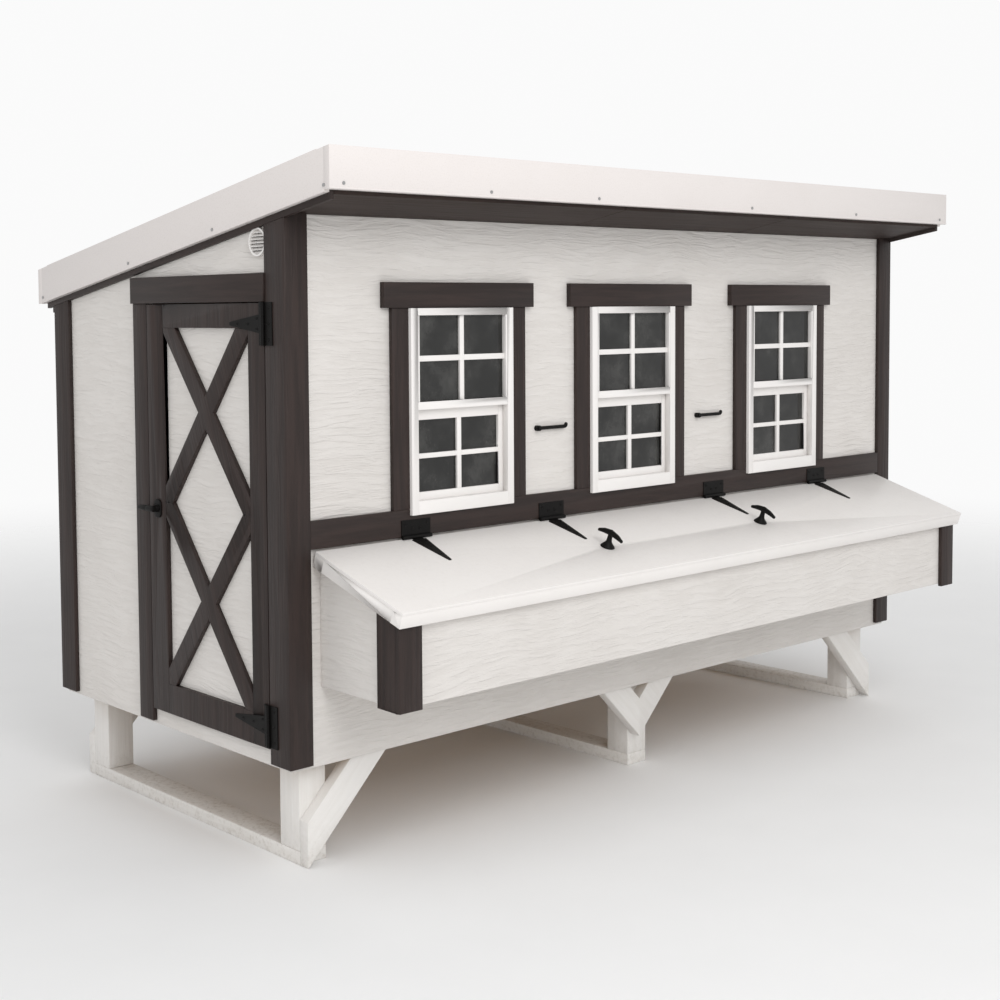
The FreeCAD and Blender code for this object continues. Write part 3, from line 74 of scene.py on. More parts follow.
def feed(tree, socket, value):
    """Link a socket to another one, or set its value."""
    if isinstance(value, bpy.types.NodeSocket):
        tree.links.new(value, socket)
    else:
        socket.default_value = value


def add_node(tree, kind, settings=None, **sockets):
    """Node with its settings made and its sockets fed, each by name or as i and its number."""
    node = tree.nodes.new(f"ShaderNode{kind}")
    for key, value in (settings or {}).items():
        setattr(node, key, value)
    for key, value in sockets.items():
        numbered = key[0] == "i" and key[1:].isdigit()
        feed(tree, node.inputs[int(key[1:])] if numbered else node.inputs[key], value)
    return node


def maths(tree, operation, first, second=0.0, third=0.0, clamp=False):
    settings = {"operation": operation, "use_clamp": clamp}
    return add_node(tree, "Math", settings, i0=first, i1=second, i2=third).outputs[0]


def blend_colour(tree, factor, first, second, mode="MIX"):
    node = tree.nodes.new("ShaderNodeMix")
    node.data_type = "RGBA"
    node.blend_type = mode
    for socket, value in (("Factor", factor), (6, first), (7, second)):
        feed(tree, node.inputs[socket], value)
    return node.outputs[2]


def ramp(tree, value, low, high):
    """Smooth step of a value between two levels."""
    node = add_node(tree, "MapRange", {"interpolation_type": "SMOOTHSTEP"}, Value=value)
    node.inputs["From Min"].default_value = low
    node.inputs["From Max"].default_value = high
    return node.outputs["Result"]


def make_grain_group():
    """Wavy relief of pressed or sawn timber grain running along the first axis of its Vector."""
    group, start, end = new_group(
        "timber grain",
        (("Vector", "Vector", None), ("Lines", "Float", 60.0), ("Stretch", "Float", 0.06),
         ("Waviness", "Float", 0.02)),
        (("Height", "Float"), ("Streak", "Float"), ("Pore", "Float")),
    )
    sway = add_node(group, "TexNoise", None, Vector=start.outputs["Vector"], Scale=3.2, Detail=2.0)
    shift = add_node(group, "VectorMath", {"operation": "SUBTRACT"}, i0=sway.outputs["Color"],
                     i1=(0.5, 0.5, 0.5))
    scaled = add_node(group, "VectorMath", {"operation": "SCALE"}, i0=shift.outputs[0],
                      Scale=start.outputs["Waviness"])
    moved = add_node(group, "VectorMath", {"operation": "ADD"}, i0=start.outputs["Vector"],
                     i1=scaled.outputs[0])
    parts = add_node(group, "SeparateXYZ", None, Vector=moved.outputs[0])
    along = maths(group, "MULTIPLY", parts.outputs["X"], start.outputs["Stretch"])
    long_way = add_node(group, "CombineXYZ", None, X=along, Y=parts.outputs["Y"], Z=parts.outputs["Z"])
    lines = add_node(group, "TexNoise", None, Vector=long_way.outputs[0], Scale=start.outputs["Lines"],
                     Detail=3.0, Roughness=0.55, Distortion=0.35)
    streaks = add_node(group, "TexNoise", None, Vector=long_way.outputs[0], Scale=18.0, Detail=2.0)
    fine = maths(group, "MULTIPLY", start.outputs["Lines"], 5.0)
    pores = add_node(group, "TexNoise", None, Vector=long_way.outputs[0], Scale=fine, Detail=1.0)
    group.links.new(ramp(group, lines.outputs["Fac"], 0.34, 0.66), end.inputs["Height"])
    group.links.new(streaks.outputs["Fac"], end.inputs["Streak"])
    group.links.new(ramp(group, pores.outputs["Fac"], 0.55, 0.75), end.inputs["Pore"])
    return group


def make_wear_group():
    """Base colour with soft patches, dust lying on upward faces and splashes near the ground."""
    group, start, end = new_group(
        "weather",
        (("Colour", "Color", (0.5, 0.5, 0.5, 1)), ("Patch colour", "Color", (0.4, 0.4, 0.4, 1)),
         ("Dust colour", "Color", (0.36, 0.31, 0.25, 1)), ("Patches", "Float", 0.3), ("Dust", "Float", 0.1),
         ("Splash height", "Float", 0.3)),
        (("Colour", "Color"), ("Dirt", "Float")),
    )
    place = group.nodes.new("ShaderNodeTexCoord").outputs["Object"]
    broad = add_node(group, "TexNoise", None, Vector=place, Scale=2.6, Detail=5.0, Roughness=0.6)
    spots = add_node(group, "TexNoise", None, Vector=place, Scale=70.0, Detail=3.0, Roughness=0.7)
    patch = maths(group, "MULTIPLY", ramp(group, broad.outputs["Fac"], 0.42, 0.72), start.outputs["Patches"])
    tone = blend_colour(group, patch, start.outputs["Colour"], start.outputs["Patch colour"])
    height = add_node(group, "SeparateXYZ", None, Vector=place).outputs["Z"]
    rise = maths(group, "DIVIDE", height, start.outputs["Splash height"])
    low = maths(group, "SUBTRACT", 1.0, rise, clamp=True)
    facing = group.nodes.new("ShaderNodeNewGeometry").outputs["Normal"]
    upward = add_node(group, "SeparateXYZ", None, Vector=facing)
    lying = maths(group, "MULTIPLY", ramp(group, upward.outputs["Z"], 0.6, 1.0), 0.45)
    speck = ramp(group, spots.outputs["Fac"], 0.45, 0.75)
    sum_dirt = maths(group, "ADD", maths(group, "MULTIPLY", low, low), lying)
    uneven = maths(group, "MULTIPLY", sum_dirt, maths(group, "ADD", speck, 0.35))
    dirt = maths(group, "MULTIPLY", uneven, start.outputs["Dust"], clamp=True)
    group.links.new(blend_colour(group, dirt, tone, start.outputs["Dust colour"]), end.inputs["Colour"])
    group.links.new(dirt, end.inputs["Dirt"])
    return group


GRAIN = make_grain_group()
WEATHER = make_wear_group()


# ---------------------------------------------------------------- materials

def place_group(tree, group, **values):
    """Copy of a shader group in a tree, its sockets fed by name."""
    node = tree.nodes.new("ShaderNodeGroup")
    node.node_tree = group
    for key, value in values.items():
        feed(tree, node.inputs[key.replace("_", " ")], value)
    return node


def start_material(name):
    material = bpy.data.materials.new(name)
    material.use_nodes = True
    tree = material.node_tree
    return material, tree, tree.nodes["Principled BSDF"]


def painted_timber(name, colour, patch, roughness, relief, lines=60.0, stretch=0.06, waviness=0.02,
                   dust=0.25, splash=0.35, depth=0.25, gloss=0.5):
    """Paint over timber: the grain shows as relief, and its hollows are darkened towards the patch tone as
    painted shade.
    """
    material, tree, surface = start_material(name)
    board = add_node(tree, "Attribute", {"attribute_name": "board"}).outputs["Vector"]
    grain = place_group(tree, GRAIN, Vector=board, Lines=lines, Stretch=stretch, Waviness=waviness)
    coat = place_group(tree, WEATHER, Colour=(*colour, 1), Patch_colour=(*patch, 1), Patches=0.25, Dust=dust,
                       Splash_height=splash)
    # painted shade: the colour is darkened in the grain's hollows, as strongly as depth says
    valley = maths(tree, "SUBTRACT", 1.0, grain.outputs["Height"])
    painted_hollow_shade = maths(tree, "MULTIPLY", valley, depth)
    colour_with_painted_hollow_shade = blend_colour(tree, painted_hollow_shade, coat.outputs["Colour"], (*patch, 1), mode="MULTIPLY")
    tree.links.new(colour_with_painted_hollow_shade, surface.inputs["Base Color"])
    rough = maths(tree, "MULTIPLY_ADD", grain.outputs["Streak"], 0.14, roughness - 0.07)
    dull = maths(tree, "ADD", rough, maths(tree, "MULTIPLY", coat.outputs["Dirt"], 0.3), clamp=True)
    tree.links.new(dull, surface.inputs["Roughness"])
    coarse = add_node(tree, "Bump", None, Height=grain.outputs["Height"], Distance=relief)
    coarse.inputs["Strength"].default_value = 0.8
    fine = add_node(tree, "Bump", {"invert": True}, Height=grain.outputs["Pore"], Distance=relief * 0.3,
                    Normal=coarse.outputs["Normal"])
    fine.inputs["Strength"].default_value = 0.35
    tree.links.new(fine.outputs["Normal"], surface.inputs["Normal"])
    surface.inputs["Specular IOR Level"].default_value = gloss
    return material


def bare_timber(name, light, dark):
    """Unpainted softwood with its grain in two tones."""
    material, tree, surface = start_material(name)
    board = add_node(tree, "Attribute", {"attribute_name": "board"}).outputs["Vector"]
    grain = place_group(tree, GRAIN, Vector=board, Lines=46.0, Stretch=0.05, Waviness=0.05)
    figure = blend_colour(tree, grain.outputs["Height"], (*dark, 1), (*light, 1))
    streaked = blend_colour(tree, maths(tree, "MULTIPLY", grain.outputs["Streak"], 0.4), figure, (*dark, 1))
    coat = place_group(tree, WEATHER, Colour=streaked, Patch_colour=(*dark, 1), Patches=0.2, Dust=0.4,
                       Splash_height=0.5)
    tree.links.new(coat.outputs["Colour"], surface.inputs["Base Color"])
    surface.inputs["Roughness"].default_value = 0.78
    bump = add_node(tree, "Bump", None, Height=grain.outputs["Height"], Distance=0.0006)
    tree.links.new(bump.outputs["Normal"], surface.inputs["Normal"])
    return material


def smooth_coat(name, colour, patch, roughness, bump_scale, bump_height, metallic=0.0, coat_weight=0.0,
                dust=0.15, speckle=0.0, gloss=0.5):
    """Enamel, moulded plastic or powder coat: an even colour with a fine surface ripple."""
    material, tree, surface = start_material(name)
    weather = place_group(tree, WEATHER, Colour=(*colour, 1), Patch_colour=(*patch, 1), Patches=0.2,
                          Dust=dust, Splash_height=0.3)
    place = tree.nodes.new("ShaderNodeTexCoord").outputs["Object"]
    dots = add_node(tree, "TexNoise", None, Vector=place, Scale=240.0, Detail=2.0, Roughness=0.8)
    spread = maths(tree, "MULTIPLY", ramp(tree, dots.outputs["Fac"], 0.5, 0.72), speckle)
    speckled = blend_colour(tree, spread, weather.outputs["Colour"], (*patch, 1))
    tree.links.new(speckled, surface.inputs["Base Color"])
    ripple = add_node(tree, "TexNoise", None, Vector=place, Scale=bump_scale, Detail=3.0, Roughness=0.6)
    smudge = add_node(tree, "TexNoise", None, Vector=place, Scale=9.0, Detail=4.0)
    rough = maths(tree, "MULTIPLY_ADD", smudge.outputs["Fac"], 0.16, roughness - 0.08)
    tree.links.new(rough, surface.inputs["Roughness"])
    bump = add_node(tree, "Bump", None, Height=ripple.outputs["Fac"], Distance=bump_height)
    tree.links.new(bump.outputs["Normal"], surface.inputs["Normal"])
    surface.inputs["Metallic"].default_value = metallic
    surface.inputs["Coat Weight"].default_value = coat_weight
    surface.inputs["Specular IOR Level"].default_value = gloss
    return material


def glass_with_painted_shade_and_reflection():
    """Window glass in near-black as painted shade of the dark inside, mottled lighter as painted reflection,
    with a few dust specks.
    """
    material, tree, surface = start_material("window glass")
    place = tree.nodes.new("ShaderNodeTexCoord").outputs["Object"]
    painted_reflection_mottle = add_node(tree, "TexNoise", None, Vector=place, Scale=6.0, Detail=6.0, Roughness=0.65)
    specks = add_node(tree, "TexNoise", None, Vector=place, Scale=220.0, Detail=2.0)
    # painted shade: near-black for the dark inside behind the glass; painted reflection: the lighter mottled
    # tone; the light specks are dust
    painted_inside_shade, painted_reflection_tone, speck = (0.022, 0.022, 0.021, 1), (0.085, 0.084, 0.080, 1), (0.16, 0.155, 0.145, 1)
    painted_shade_and_reflection = blend_colour(tree, ramp(tree, painted_reflection_mottle.outputs["Fac"], 0.4, 0.75), painted_inside_shade, painted_reflection_tone)
    spotted = blend_colour(tree, ramp(tree, specks.outputs["Fac"], 0.7, 0.78), painted_shade_and_reflection, speck)
    tree.links.new(spotted, surface.inputs["Base Color"])
    rough = maths(tree, "MULTIPLY_ADD", ramp(tree, painted_reflection_mottle.outputs["Fac"], 0.35, 0.8), 0.14, 0.05)
    tree.links.new(rough, surface.inputs["Roughness"])
    surface.inputs["Transmission Weight"].default_value = 0.25
    surface.inputs["IOR"].default_value = 1.45
    return material


# each finish has its own colour and the tone that its patches take; on painted timber the grain's hollows
# are also darkened towards this tone as painted shade
WHITE, WHITE_SHADE = (0.735, 0.705, 0.675), (0.60, 0.565, 0.53)
BROWN, BROWN_SHADE = (0.032, 0.0195, 0.0165), (0.018, 0.012, 0.011)
# the soffit's brown is the trim's paint made darker, as painted shade under the eaves
SOFFIT_BROWN_WITH_EAVE_SHADE = (0.030, 0.0165, 0.0125)
SKID_WHITE, SKID_SHADE = (0.83, 0.81, 0.785), (0.68, 0.65, 0.6)
SOFTWOOD, SOFTWOOD_DARK = (0.58, 0.42, 0.25), (0.36, 0.22, 0.11)
PLASTIC, PLASTIC_SHADE = (0.86, 0.835, 0.815), (0.74, 0.72, 0.69)
ENAMEL, ENAMEL_SHADE = (0.765, 0.72, 0.70), (0.66, 0.61, 0.58)
ZINC, ZINC_SHADE = (0.42, 0.42, 0.42), (0.25, 0.25, 0.25)
LID_WHITE, LID_SHADE = (0.86, 0.83, 0.805), (0.76, 0.725, 0.695)
IRON, IRON_SHADE = (0.005, 0.0045, 0.0042), (0.010, 0.009, 0.008)
SLOT_MATERIALS = {
    "siding_paint": painted_timber("grained white paint", WHITE, WHITE_SHADE, 0.55, 0.0017, lines=80.0,
                                   stretch=0.09, waviness=0.06, depth=0.10, dust=0.10),
    "trim_paint": painted_timber("brown paint", BROWN, BROWN_SHADE, 0.50, 0.0008, lines=55.0, depth=0.35,
                                 dust=0.03, gloss=0.35),
    # soffit in the darker brown: brown paint with painted shade of the eaves
    "soffit_paint": painted_timber("brown soffit paint with painted eave shade", SOFFIT_BROWN_WITH_EAVE_SHADE, BROWN_SHADE, 0.6, 0.0006, dust=0.0,
                                   gloss=0.3),
    "skid_paint": painted_timber("white skid paint", SKID_WHITE, SKID_SHADE, 0.55, 0.0006, dust=0.35,
                                 splash=0.16, depth=0.12),
    "raw_timber": bare_timber("planed softwood", SOFTWOOD, SOFTWOOD_DARK),
    "window_paint": smooth_coat("white window plastic", PLASTIC, PLASTIC_SHADE, 0.36, 260.0, 0.00006,
                                dust=0.1),
    "window_glass": glass_with_painted_shade_and_reflection(),
    "roof_metal": smooth_coat("white enamelled steel", ENAMEL, ENAMEL_SHADE, 0.42, 380.0, 0.00030,
                              coat_weight=0.1, dust=0.1, speckle=0.5),
    "screw_steel": smooth_coat("zinc screws", ZINC, ZINC_SHADE, 0.4, 900.0, 0.00005, metallic=0.9),
    "lid_paint": smooth_coat("satin white lid paint", LID_WHITE, LID_SHADE, 0.45, 150.0, 0.00022, dust=0.12,
                             speckle=0.2),
    "black_iron": smooth_coat("black powder coat", IRON, IRON_SHADE, 0.46, 700.0, 0.00022, dust=0.0,
                              gloss=0.14),
}
SLOT_OF = {entry["node"]: entry["material_slot"] for entry in frame["record"]["subparts"]}


# ---------------------------------------------------------------- making pieces

SMOOTH_ANGLE = math.radians(40)
SHARP_ANGLE = math.radians(25)
WELD = 0.00002
GRAIN_SPREAD = 50


def finish_piece(name, mesh, node=None, body=None, slot=None, shaded=False):
    """Mesh as a piece of the scene, shaded smooth up to an angle and riding on its body."""
    piece = bpy.data.objects.new(name, mesh)
    scene.collection.objects.link(piece)
    slot = slot or SLOT_OF[node]
    mesh.materials.clear()
    mesh.materials.append(SLOT_MATERIALS[slot])
    if not shaded:
        mesh.shade_smooth()
    mesh.set_sharp_from_angle(angle=SMOOTH_ANGLE)
    if node:
        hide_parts(node)
    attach(piece, body or BODY_OF[node])
    return piece


def islands(mesh_tree):
    """Groups of connected vertices."""
    left = set(mesh_tree.verts)
    while left:
        found = {left.pop()}
        edge_of_search = list(found)
        while edge_of_search:
            vert = edge_of_search.pop()
            for edge in vert.link_edges:
                other = edge.other_vert(vert)
                if other not in found:
                    found.add(other)
                    edge_of_search.append(other)
        left -= found
        yield sorted(found, key=lambda vert: vert.index)


def add_board_places(mesh_tree, along=None):
    """Store for each board a place that runs along its longest edge, so that its grain follows it."""
    mesh_tree.verts.index_update()
    layer = mesh_tree.verts.layers.float_vector.new("board")
    for verts in islands(mesh_tree):
        edges = (edge for vert in verts for edge in vert.link_edges)
        longest = max(edges, key=lambda edge: edge.calc_length())
        run = Vector(along) if along else (longest.verts[1].co - longest.verts[0].co).normalized()
        helper = Vector((0, 0, 1)) if abs(run.z) < 0.8 else Vector((0, 1, 0))
        side = run.cross(helper).normalized()
        upright = side.cross(run)
        shift = Vector([rng.uniform(0, GRAIN_SPREAD) for _ in range(3)])
        for vert in verts:
            vert[layer] = Vector((vert.co.dot(run), vert.co.dot(side), vert.co.dot(upright))) + shift


def board_piece(node, rounding, along=None, segments=2):
    """The solid of a node again, with its arrises eased and its grain laid along each board."""
    mesh_tree = bmesh.new()
    mesh_tree.from_mesh(NODES[node].data)
    bmesh.ops.remove_doubles(mesh_tree, verts=mesh_tree.verts, dist=WELD)
    bmesh.ops.dissolve_limit(mesh_tree, angle_limit=math.radians(1), verts=mesh_tree.verts,
                             edges=mesh_tree.edges)
    sharp = [edge for edge in mesh_tree.edges
             if len(edge.link_faces) == 2 and edge.calc_face_angle(0) > SHARP_ANGLE]
    for face in mesh_tree.faces:
        face.smooth = False
    eased = bmesh.ops.bevel(mesh_tree, geom=sharp, offset=rounding, offset_type="OFFSET", affect="EDGES",
                            segments=segments, profile=0.5, material=-1, clamp_overlap=True)
    for face in eased["faces"]:
        face.smooth = True
    add_board_places(mesh_tree, along)
    mesh = bpy.data.meshes.new(f"{node}_eased")
    mesh_tree.to_mesh(mesh)
    mesh_tree.free()
    return finish_piece(f"{node}_eased", mesh, node, shaded=True)


# how far the arrises are eased
ROUGH_SAWN = 0.0022
PLANED = 0.0015
MOULDED = 0.0012
SHEET_EDGE = 0.0008
FINE_EDGE = 0.0006
# the ways that grain runs: along the coop, across it, and up a door brace
LENGTHWAYS = (1, 0, 0)
CROSSWAYS = (0, 1, 0)
UP_THE_BRACE = (0, 0.36, 0.93)
for node in ("skid_runners", "skid_legs", "skid_braces"):
    board_piece(node, ROUGH_SAWN)
for node in ("floor_frame", "wall_frame", "rafters", "roost_bars"):
    board_piece(node, PLANED, segments=1)
for node in ("floor_deck", "roof_deck", "nest_floor", "soffit_panels", "front_siding", "rear_siding",
             "nest_front"):
    board_piece(node, SHEET_EDGE, along=LENGTHWAYS, segments=1)
for node in ("left_siding", "right_siding", "nest_partitions", "door_panel", "pop_door"):
    board_piece(node, SHEET_EDGE, along=CROSSWAYS, segments=1)
for node in ("corner_trim_front_left", "corner_trim_front_right", "corner_trim_rear_left",
             "corner_trim_rear_right", "belt_rail", "window_trim", "door_trim", "frieze_boards",
             "nest_corner_trim", "door_frame", "pop_door_guides"):
    board_piece(node, PLANED)
board_piece("door_cross_braces", PLANED, along=UP_THE_BRACE)
for node in ("window_frame_1", "window_frame_2", "window_frame_3", "sash_1", "sash_2", "sash_3"):
    board_piece(node, MOULDED)
for node in ("lid_top", "lid_frame"):
    board_piece(node, FINE_EDGE)
for node in ("fascia_front", "fascia_rear", "fascia_ends", "roof_sheet"):
    board_piece(node, SHEET_EDGE)

# what keeps its own solid gets its finish
for node in ("upper_panes", "sash_pane_1", "sash_pane_2", "sash_pane_3", "vent", "lid_hinge_leaves",
             "lid_hinge_straps", "door_hinge_leaves", "door_hinge_straps", "hook_eyes", "fascia_screws",
             "hook_left", "hook_right"):
    materials = NODES[node].data.materials
    materials.clear()
    materials.append(SLOT_MATERIALS[SLOT_OF[node]])


# ---------------------------------------------------------------- fittings

def aim(direction):
    """Turn that takes the upright axis to a direction."""
    return Vector(direction).to_track_quat("Z", "Y").to_matrix().to_4x4()


def add_rod(mesh_tree, start, end, foot_radius, top_radius, rounding=0.0, segments=28):
    """Round bar between two points, its end rims eased."""
    start, end = Vector(start), Vector(end)
    made = bmesh.ops.create_cone(mesh_tree, cap_ends=True, segments=segments, radius1=foot_radius,
                                 radius2=top_radius, depth=(end - start).length,
                                 matrix=Matrix.Translation((start + end) / 2) @ aim(end - start))
    if rounding:
        verts = set(made["verts"])
        rims = [edge for edge in mesh_tree.edges if set(edge.verts) <= verts
                and any(len(face.verts) > 4 for face in edge.link_faces)]
        bmesh.ops.bevel(mesh_tree, geom=rims, offset=rounding, offset_type="OFFSET", affect="EDGES",
                        segments=4, profile=0.5, material=-1, clamp_overlap=True)


def add_block(mesh_tree, low, high, rounding, corner=0.0, place=Matrix.Identity(4)):
    """Block between two corners; a corner radius rounds the edges along the first axis before the rest."""
    low, high = Vector(low), Vector(high)
    made = bmesh.ops.create_cube(mesh_tree, size=1, matrix=place @ Matrix.Translation((low + high) / 2)
                                 @ Matrix.Diagonal((*(high - low), 1)))
    verts = set(made["verts"])
    if corner:
        level = [edge for edge in mesh_tree.edges if set(edge.verts) <= verts
                 and abs((edge.verts[1].co - edge.verts[0].co).normalized().x) > 0.9]
        rounded = bmesh.ops.bevel(mesh_tree, geom=level, offset=corner, offset_type="OFFSET", affect="EDGES",
                                  segments=8, profile=0.5, material=-1, clamp_overlap=True)
        verts = {vert for vert in verts if vert.is_valid} | set(rounded["verts"])
    rims = [edge for edge in mesh_tree.edges if set(edge.verts) <= verts and edge.calc_face_angle(0) > 0.8]
    bmesh.ops.bevel(mesh_tree, geom=rims, offset=rounding, offset_type="OFFSET", affect="EDGES", segments=3,
                    profile=0.5, material=-1, clamp_overlap=True)


def add_screw(mesh_tree, place, normal, radius, height):
    """Low pan head with a round drive recess."""
    middle = Vector(place) + Vector(normal) * height / 2
    made = bmesh.ops.create_cone(mesh_tree, cap_ends=True, segments=18, radius1=radius,
                                 radius2=radius * 0.72, depth=height,
                                 matrix=Matrix.Translation(middle) @ aim(normal))
    top = max({face for vert in made["verts"] for face in vert.link_faces if len(face.verts) > 4},
              key=lambda face: face.calc_center_median().dot(Vector(normal)))
    bmesh.ops.inset_region(mesh_tree, faces=[top], thickness=radius * 0.3, depth=0.0)
    bmesh.ops.translate(mesh_tree, verts=top.verts, vec=Vector(normal) * -height * 0.5)


def close_piece(name, mesh_tree, **where):
    """Finished piece from a mesh in the making, its faces turned outwards."""
    bmesh.ops.recalc_face_normals(mesh_tree, faces=mesh_tree.faces)
    mesh = bpy.data.meshes.new(name)
    mesh_tree.to_mesh(mesh)
    mesh_tree.free()
    return finish_piece(name, mesh, **where)


LID_PITCH = math.radians(18)
LID_UP = Vector((0, -math.sin(LID_PITCH), math.cos(LID_PITCH)))
LID_DOWN = Vector((0, -math.cos(LID_PITCH), -math.sin(LID_PITCH)))
# the hinge pin lies this far down the slope from the lid's back edge, and this far out of its face
LID_PIN_AHEAD = 0.004
LID_PIN_PROUD = 0.006
# first axis to the left, second down the slope, third out of the lid
LID_TURN = Matrix((Vector((-1, 0, 0)), LID_DOWN, LID_UP)).transposed().to_4x4()


def on_lid(x, reach, height):
    """Point over the lid's top face, reach measured down the slope from its back edge."""
    pin = JOINTS["lid_hinge"]["pos_m"]
    back_edge = Vector((x, pin[1], pin[2])) - LID_DOWN * LID_PIN_AHEAD - LID_UP * LID_PIN_PROUD
    return back_edge + LID_DOWN * reach + LID_UP * height


# T-handles on the lid: a turned foot and stem as radius and height, two drooping arms, a cam below
STEM_PROFILE = ((0.0215, 0.0004), (0.0215, 0.0022), (0.0205, 0.0038), (0.0185, 0.0060), (0.0150, 0.0098),
                (0.0112, 0.0140), (0.0088, 0.0190), (0.0076, 0.0260), (0.0072, 0.0360), (0.0080, 0.0450))
STEM_HEIGHT = 0.046
ARM_TILT = math.radians(8)
SHAFT_RADIUS = 0.008
CAM_FOOT, CAM_TOP, CAM_REACH = -0.029, -0.025, 0.056
CAM_HALF_WIDTH = 0.008
for side in ("left", "right"):
    node = f"lid_handle_{side}"
    foot = Vector(JOINTS[f"{node}_turn"]["pos_m"])
    piece = bmesh.new()
    aside = Vector((1, 0, 0))
    chain = [piece.verts.new(foot + aside * radius + LID_UP * height) for radius, height in STEM_PROFILE]
    edges = [piece.edges.new(pair) for pair in zip(chain, chain[1:])]
    bmesh.ops.spin(piece, geom=chain + edges, cent=foot, axis=LID_UP, angle=math.tau, steps=36,
                   use_merge=True)
    add_rod(piece, foot + LID_UP * CAM_FOOT, foot + LID_UP * 0.004, SHAFT_RADIUS, SHAFT_RADIUS)
    top = foot + LID_UP * STEM_HEIGHT
    for sense in (1, -1):
        arm = (LID_DOWN * sense * math.cos(ARM_TILT) - LID_UP * math.sin(ARM_TILT)).normalized()
        shoulder = top + arm * 0.026
        add_rod(piece, top - arm * 0.002, shoulder, 0.0088, 0.0076, 0.0004)
        droop = (arm - LID_UP * 0.16).normalized()
        add_rod(piece, shoulder - droop * 0.001, shoulder + droop * 0.0240, 0.0075, 0.0044, 0.0030)
    bmesh.ops.create_uvsphere(piece, u_segments=24, v_segments=14, radius=0.0089,
                              matrix=Matrix.Translation(top))
    add_block(piece, (-CAM_HALF_WIDTH, -CAM_HALF_WIDTH, CAM_FOOT), (CAM_HALF_WIDTH, CAM_REACH, CAM_TOP),
              0.0008, place=Matrix.Translation(foot) @ LID_TURN)
    close_piece(f"{node}_turned", piece, node=node)

# latch lever on a rounded plate, with a spindle through the door and a cam behind it
LEVER_STAND_OFF = 0.009
CAM_WALL = 0.005
turn_at = Vector(JOINTS["door_handle_turn"]["pos_m"])
low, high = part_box("door_latch_plate")
piece = bmesh.new()
add_block(piece, low, high, 0.0018, corner=0.0165)
close_piece("door_latch_plate_rounded", piece, node="door_latch_plate")
low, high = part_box("door_handle")
hub = Vector((low.x + LEVER_STAND_OFF, turn_at.y, turn_at.z))
back = Vector((0, 1, 0))
piece = bmesh.new()
add_rod(piece, hub - back * 0.011, hub + back * 0.030, 0.0088, 0.0086, 0.0030)
add_rod(piece, hub + back * 0.028, (hub.x, high.y - 0.0005, hub.z), 0.0086, 0.0070, 0.0040)
add_rod(piece, hub, (turn_at.x - 0.0052, hub.y, hub.z), 0.0086, 0.0115, 0.0006)
add_rod(piece, hub, (high.x, hub.y, hub.z), 0.006, 0.006, 0.0008)
add_block(piece, (high.x - 2 * CAM_WALL, hub.y - CAM_HALF_WIDTH, low.z),
          (high.x - CAM_WALL, hub.y + CAM_HALF_WIDTH, hub.z + CAM_HALF_WIDTH), 0.0012)
close_piece("door_handle_forged", piece, node="door_handle")


def screw_hinges(name, body, leaf_screws, strap_screws):
    """Screw heads of one set of hinges: the leaves' on the coop and the straps' on the moving body."""
    for part, rides_on, screws, radius, height in (
            ("leaf", "coop", leaf_screws, 0.0042, 0.0016), ("strap", body, strap_screws, 0.0040, 0.0014)):
        heads = bmesh.new()
        for place, normal in screws:
            add_screw(heads, place, normal, radius, height)
        close_piece(f"{name}_{part}_screws", heads, body=rides_on, slot="black_iron")


LEAF_PROUD = 0.0025
LID_LEAF_HALF = 0.053
# from the first lid hinge to each one
LID_HINGE_STEPS = (0.0, 0.543, 1.326, 1.917)
# front face of the belt rail, which the lid's leaves lie on
TRIM_FACE_Y = -0.47808
lid_hinge_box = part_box("lid_hinge_leaves")
lid_hinge_x = [lid_hinge_box[0].x + LID_LEAF_HALF + step for step in LID_HINGE_STEPS]
OUTWARDS = (0, -1, 0)
screw_hinges(
    "lid", "lid",
    [((x + shift, TRIM_FACE_Y - LEAF_PROUD, z), OUTWARDS) for x in lid_hinge_x
     for shift, z in ((-0.041, 0.903), (-0.014, 0.890), (0.014, 0.890), (0.041, 0.903))],
    [(on_lid(x + aside, reach, LEAF_PROUD), LID_UP) for x in lid_hinge_x
     for reach, aside in ((0.028, -0.013), (0.028, 0.013), (0.066, 0.0), (0.112, 0.0))])

DOOR_HINGE_HEIGHTS = (1.464, 0.392)
DOOR_PIN_PROUD = 0.006
DOOR_LEAF_INSET = 0.0225
door_pin = Vector(JOINTS["door_hinge"]["pos_m"])
leaf_x = door_pin.x + DOOR_PIN_PROUD - LEAF_PROUD
LEFTWARDS = (-1, 0, 0)
screw_hinges(
    "door", "door",
    [((leaf_x, door_pin.y - DOOR_LEAF_INSET, z + shift), LEFTWARDS) for z in DOOR_HINGE_HEIGHTS
     for shift in (-0.042, 0.0, 0.042)],
    [((leaf_x - 0.0004, door_pin.y + reach, z + rise), LEFTWARDS) for z in DOOR_HINGE_HEIGHTS
     for reach, rise in ((0.030, -0.014), (0.030, 0.014), (0.072, 0.0), (0.120, 0.0))])

# rolled lip along the lower edge of the roof's edge metal
LIP_RADIUS = 0.003
low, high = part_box("fascia_front")
lip_y, lip_z = low.y + 0.0012, low.z + 0.0032
piece = bmesh.new()
add_rod(piece, (low.x + 0.001, lip_y, lip_z), (high.x - 0.001, lip_y, lip_z), LIP_RADIUS, LIP_RADIUS, 0.001,
        segments=16)
close_piece("front_drip_lip", piece, body="coop", slot="roof_metal")


# ---------------------------------------------------------------- setting

FLOOR_FADE_START = 2.6
FLOOR_FADE_END = 8.0


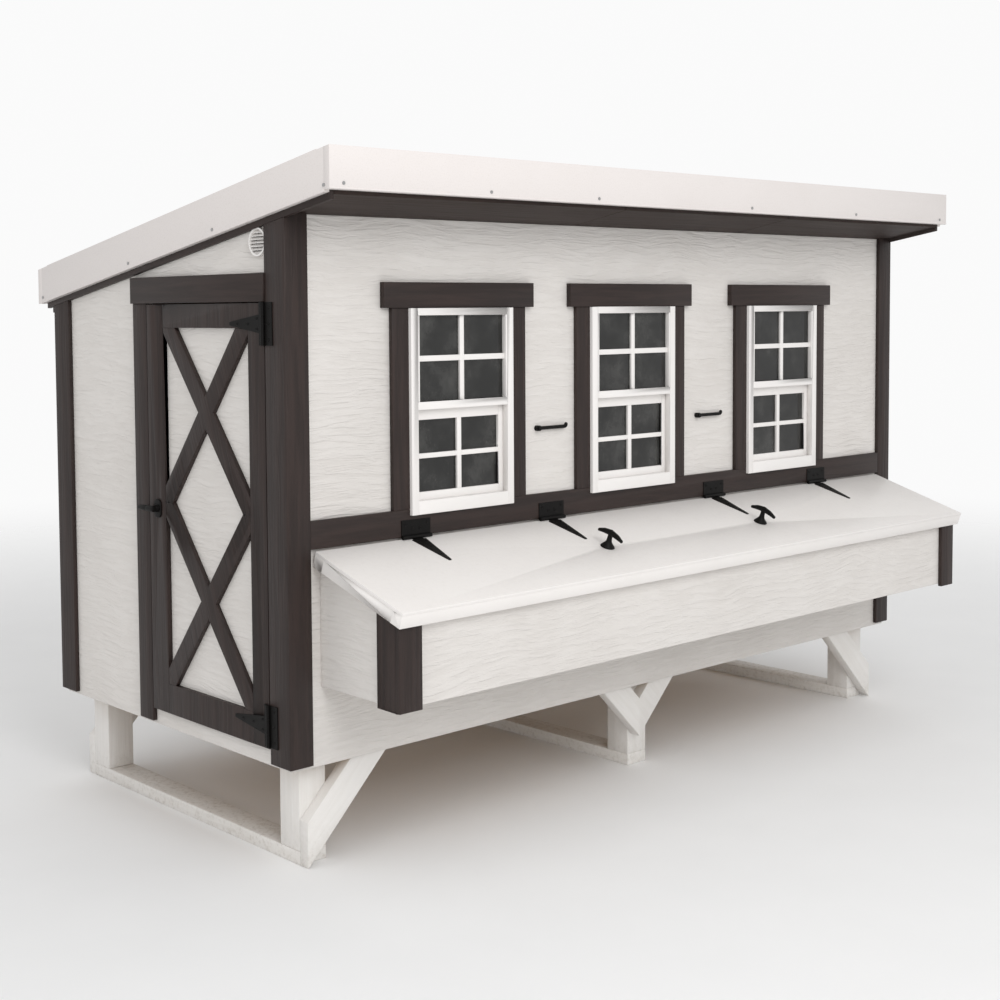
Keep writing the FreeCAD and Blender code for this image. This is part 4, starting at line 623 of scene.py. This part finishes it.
def stage_floor():
    """Pale floor that fades out well beyond the coop."""
    mesh_tree = bmesh.new()
    bmesh.ops.create_grid(mesh_tree, x_segments=1, y_segments=1, size=40)
    mesh = bpy.data.meshes.new("floor")
    mesh_tree.to_mesh(mesh)
    mesh_tree.free()
    material, tree, surface = start_material("pale floor")
    place = tree.nodes.new("ShaderNodeTexCoord").outputs["Object"]
    mottle = add_node(tree, "TexNoise", None, Vector=place, Scale=3.0, Detail=4.0)
    tone = blend_colour(tree, mottle.outputs["Fac"], (0.86, 0.86, 0.86, 1), (0.9, 0.9, 0.9, 1))
    tree.links.new(tone, surface.inputs["Base Color"])
    surface.inputs["Roughness"].default_value = 0.9
    surface.inputs["Specular IOR Level"].default_value = 0.2
    # far out the floor thins into the pale surround
    reach = add_node(tree, "VectorMath", {"operation": "LENGTH"}, i0=place).outputs["Value"]
    thin = tree.nodes.new("ShaderNodeBsdfTransparent")
    fade = ramp(tree, reach, FLOOR_FADE_START, FLOOR_FADE_END)
    both = add_node(tree, "MixShader", None, Fac=fade, i1=surface.outputs["BSDF"], i2=thin.outputs["BSDF"])
    tree.links.new(both.outputs["Shader"], tree.nodes["Material Output"].inputs["Surface"])
    mesh.materials.append(material)
    floor = bpy.data.objects.new("floor", mesh)
    scene.collection.objects.link(floor)


def soft_light(name, place, target, size, watts):
    """Round area light at a place, turned towards a target."""
    data = bpy.data.lights.new(name, "AREA")
    data.shape = "DISK"
    data.size = size
    data.energy = watts
    lamp = bpy.data.objects.new(name, data)
    lamp.location = place
    lamp.rotation_euler = (Vector(target) - Vector(place)).to_track_quat("-Z", "Y").to_euler()
    scene.collection.objects.link(lamp)


def set_camera():
    """Eye-level camera off the front left corner, with a shifted lens."""
    yaw, pitch, roll = (math.radians(angle) for angle in (41.28, -3.38, -0.47))
    forward = Vector((math.sin(yaw) * math.cos(pitch), math.cos(yaw) * math.cos(pitch), math.sin(pitch)))
    right = Vector((math.cos(yaw), -math.sin(yaw), 0))
    up = right.cross(forward)
    across = right * math.cos(roll) + up * math.sin(roll)
    top = up * math.cos(roll) - right * math.sin(roll)
    data = bpy.data.cameras.new("camera")
    data.sensor_width = 36
    data.lens = 54.93
    data.shift_x = 0.076
    data.shift_y = -0.100
    camera = bpy.data.objects.new("camera", data)
    turn = Matrix((across, top, -forward)).transposed()
    camera.matrix_world = Matrix.Translation((-3.7465, -3.6767, 1.4971)) @ turn.to_4x4()
    scene.collection.objects.link(camera)
    scene.camera = camera


stage_floor()
world = bpy.data.worlds.new("studio")
world.use_nodes = True
shell = world.node_tree.nodes["Background"]
shell.inputs["Color"].default_value = (1.0, 1.0, 1.0, 1)
seen = world.node_tree.nodes.new("ShaderNodeLightPath").outputs["Is Camera Ray"]
# the surround looks brighter to the camera than it lights the coop
strength = maths(world.node_tree, "MULTIPLY_ADD", seen, 0.20, 0.76)
world.node_tree.links.new(strength, shell.inputs["Strength"])
scene.world = world
soft_light("key", (-2.2, -5.6, 4.4), (0.3, -0.3, 0.9), 4.0, 160)
soft_light("left fill", (-6.5, -1.8, 2.6), (-1.2, 0, 1.0), 3.5, 20)
scene.view_settings.view_transform = "Standard"
set_camera()
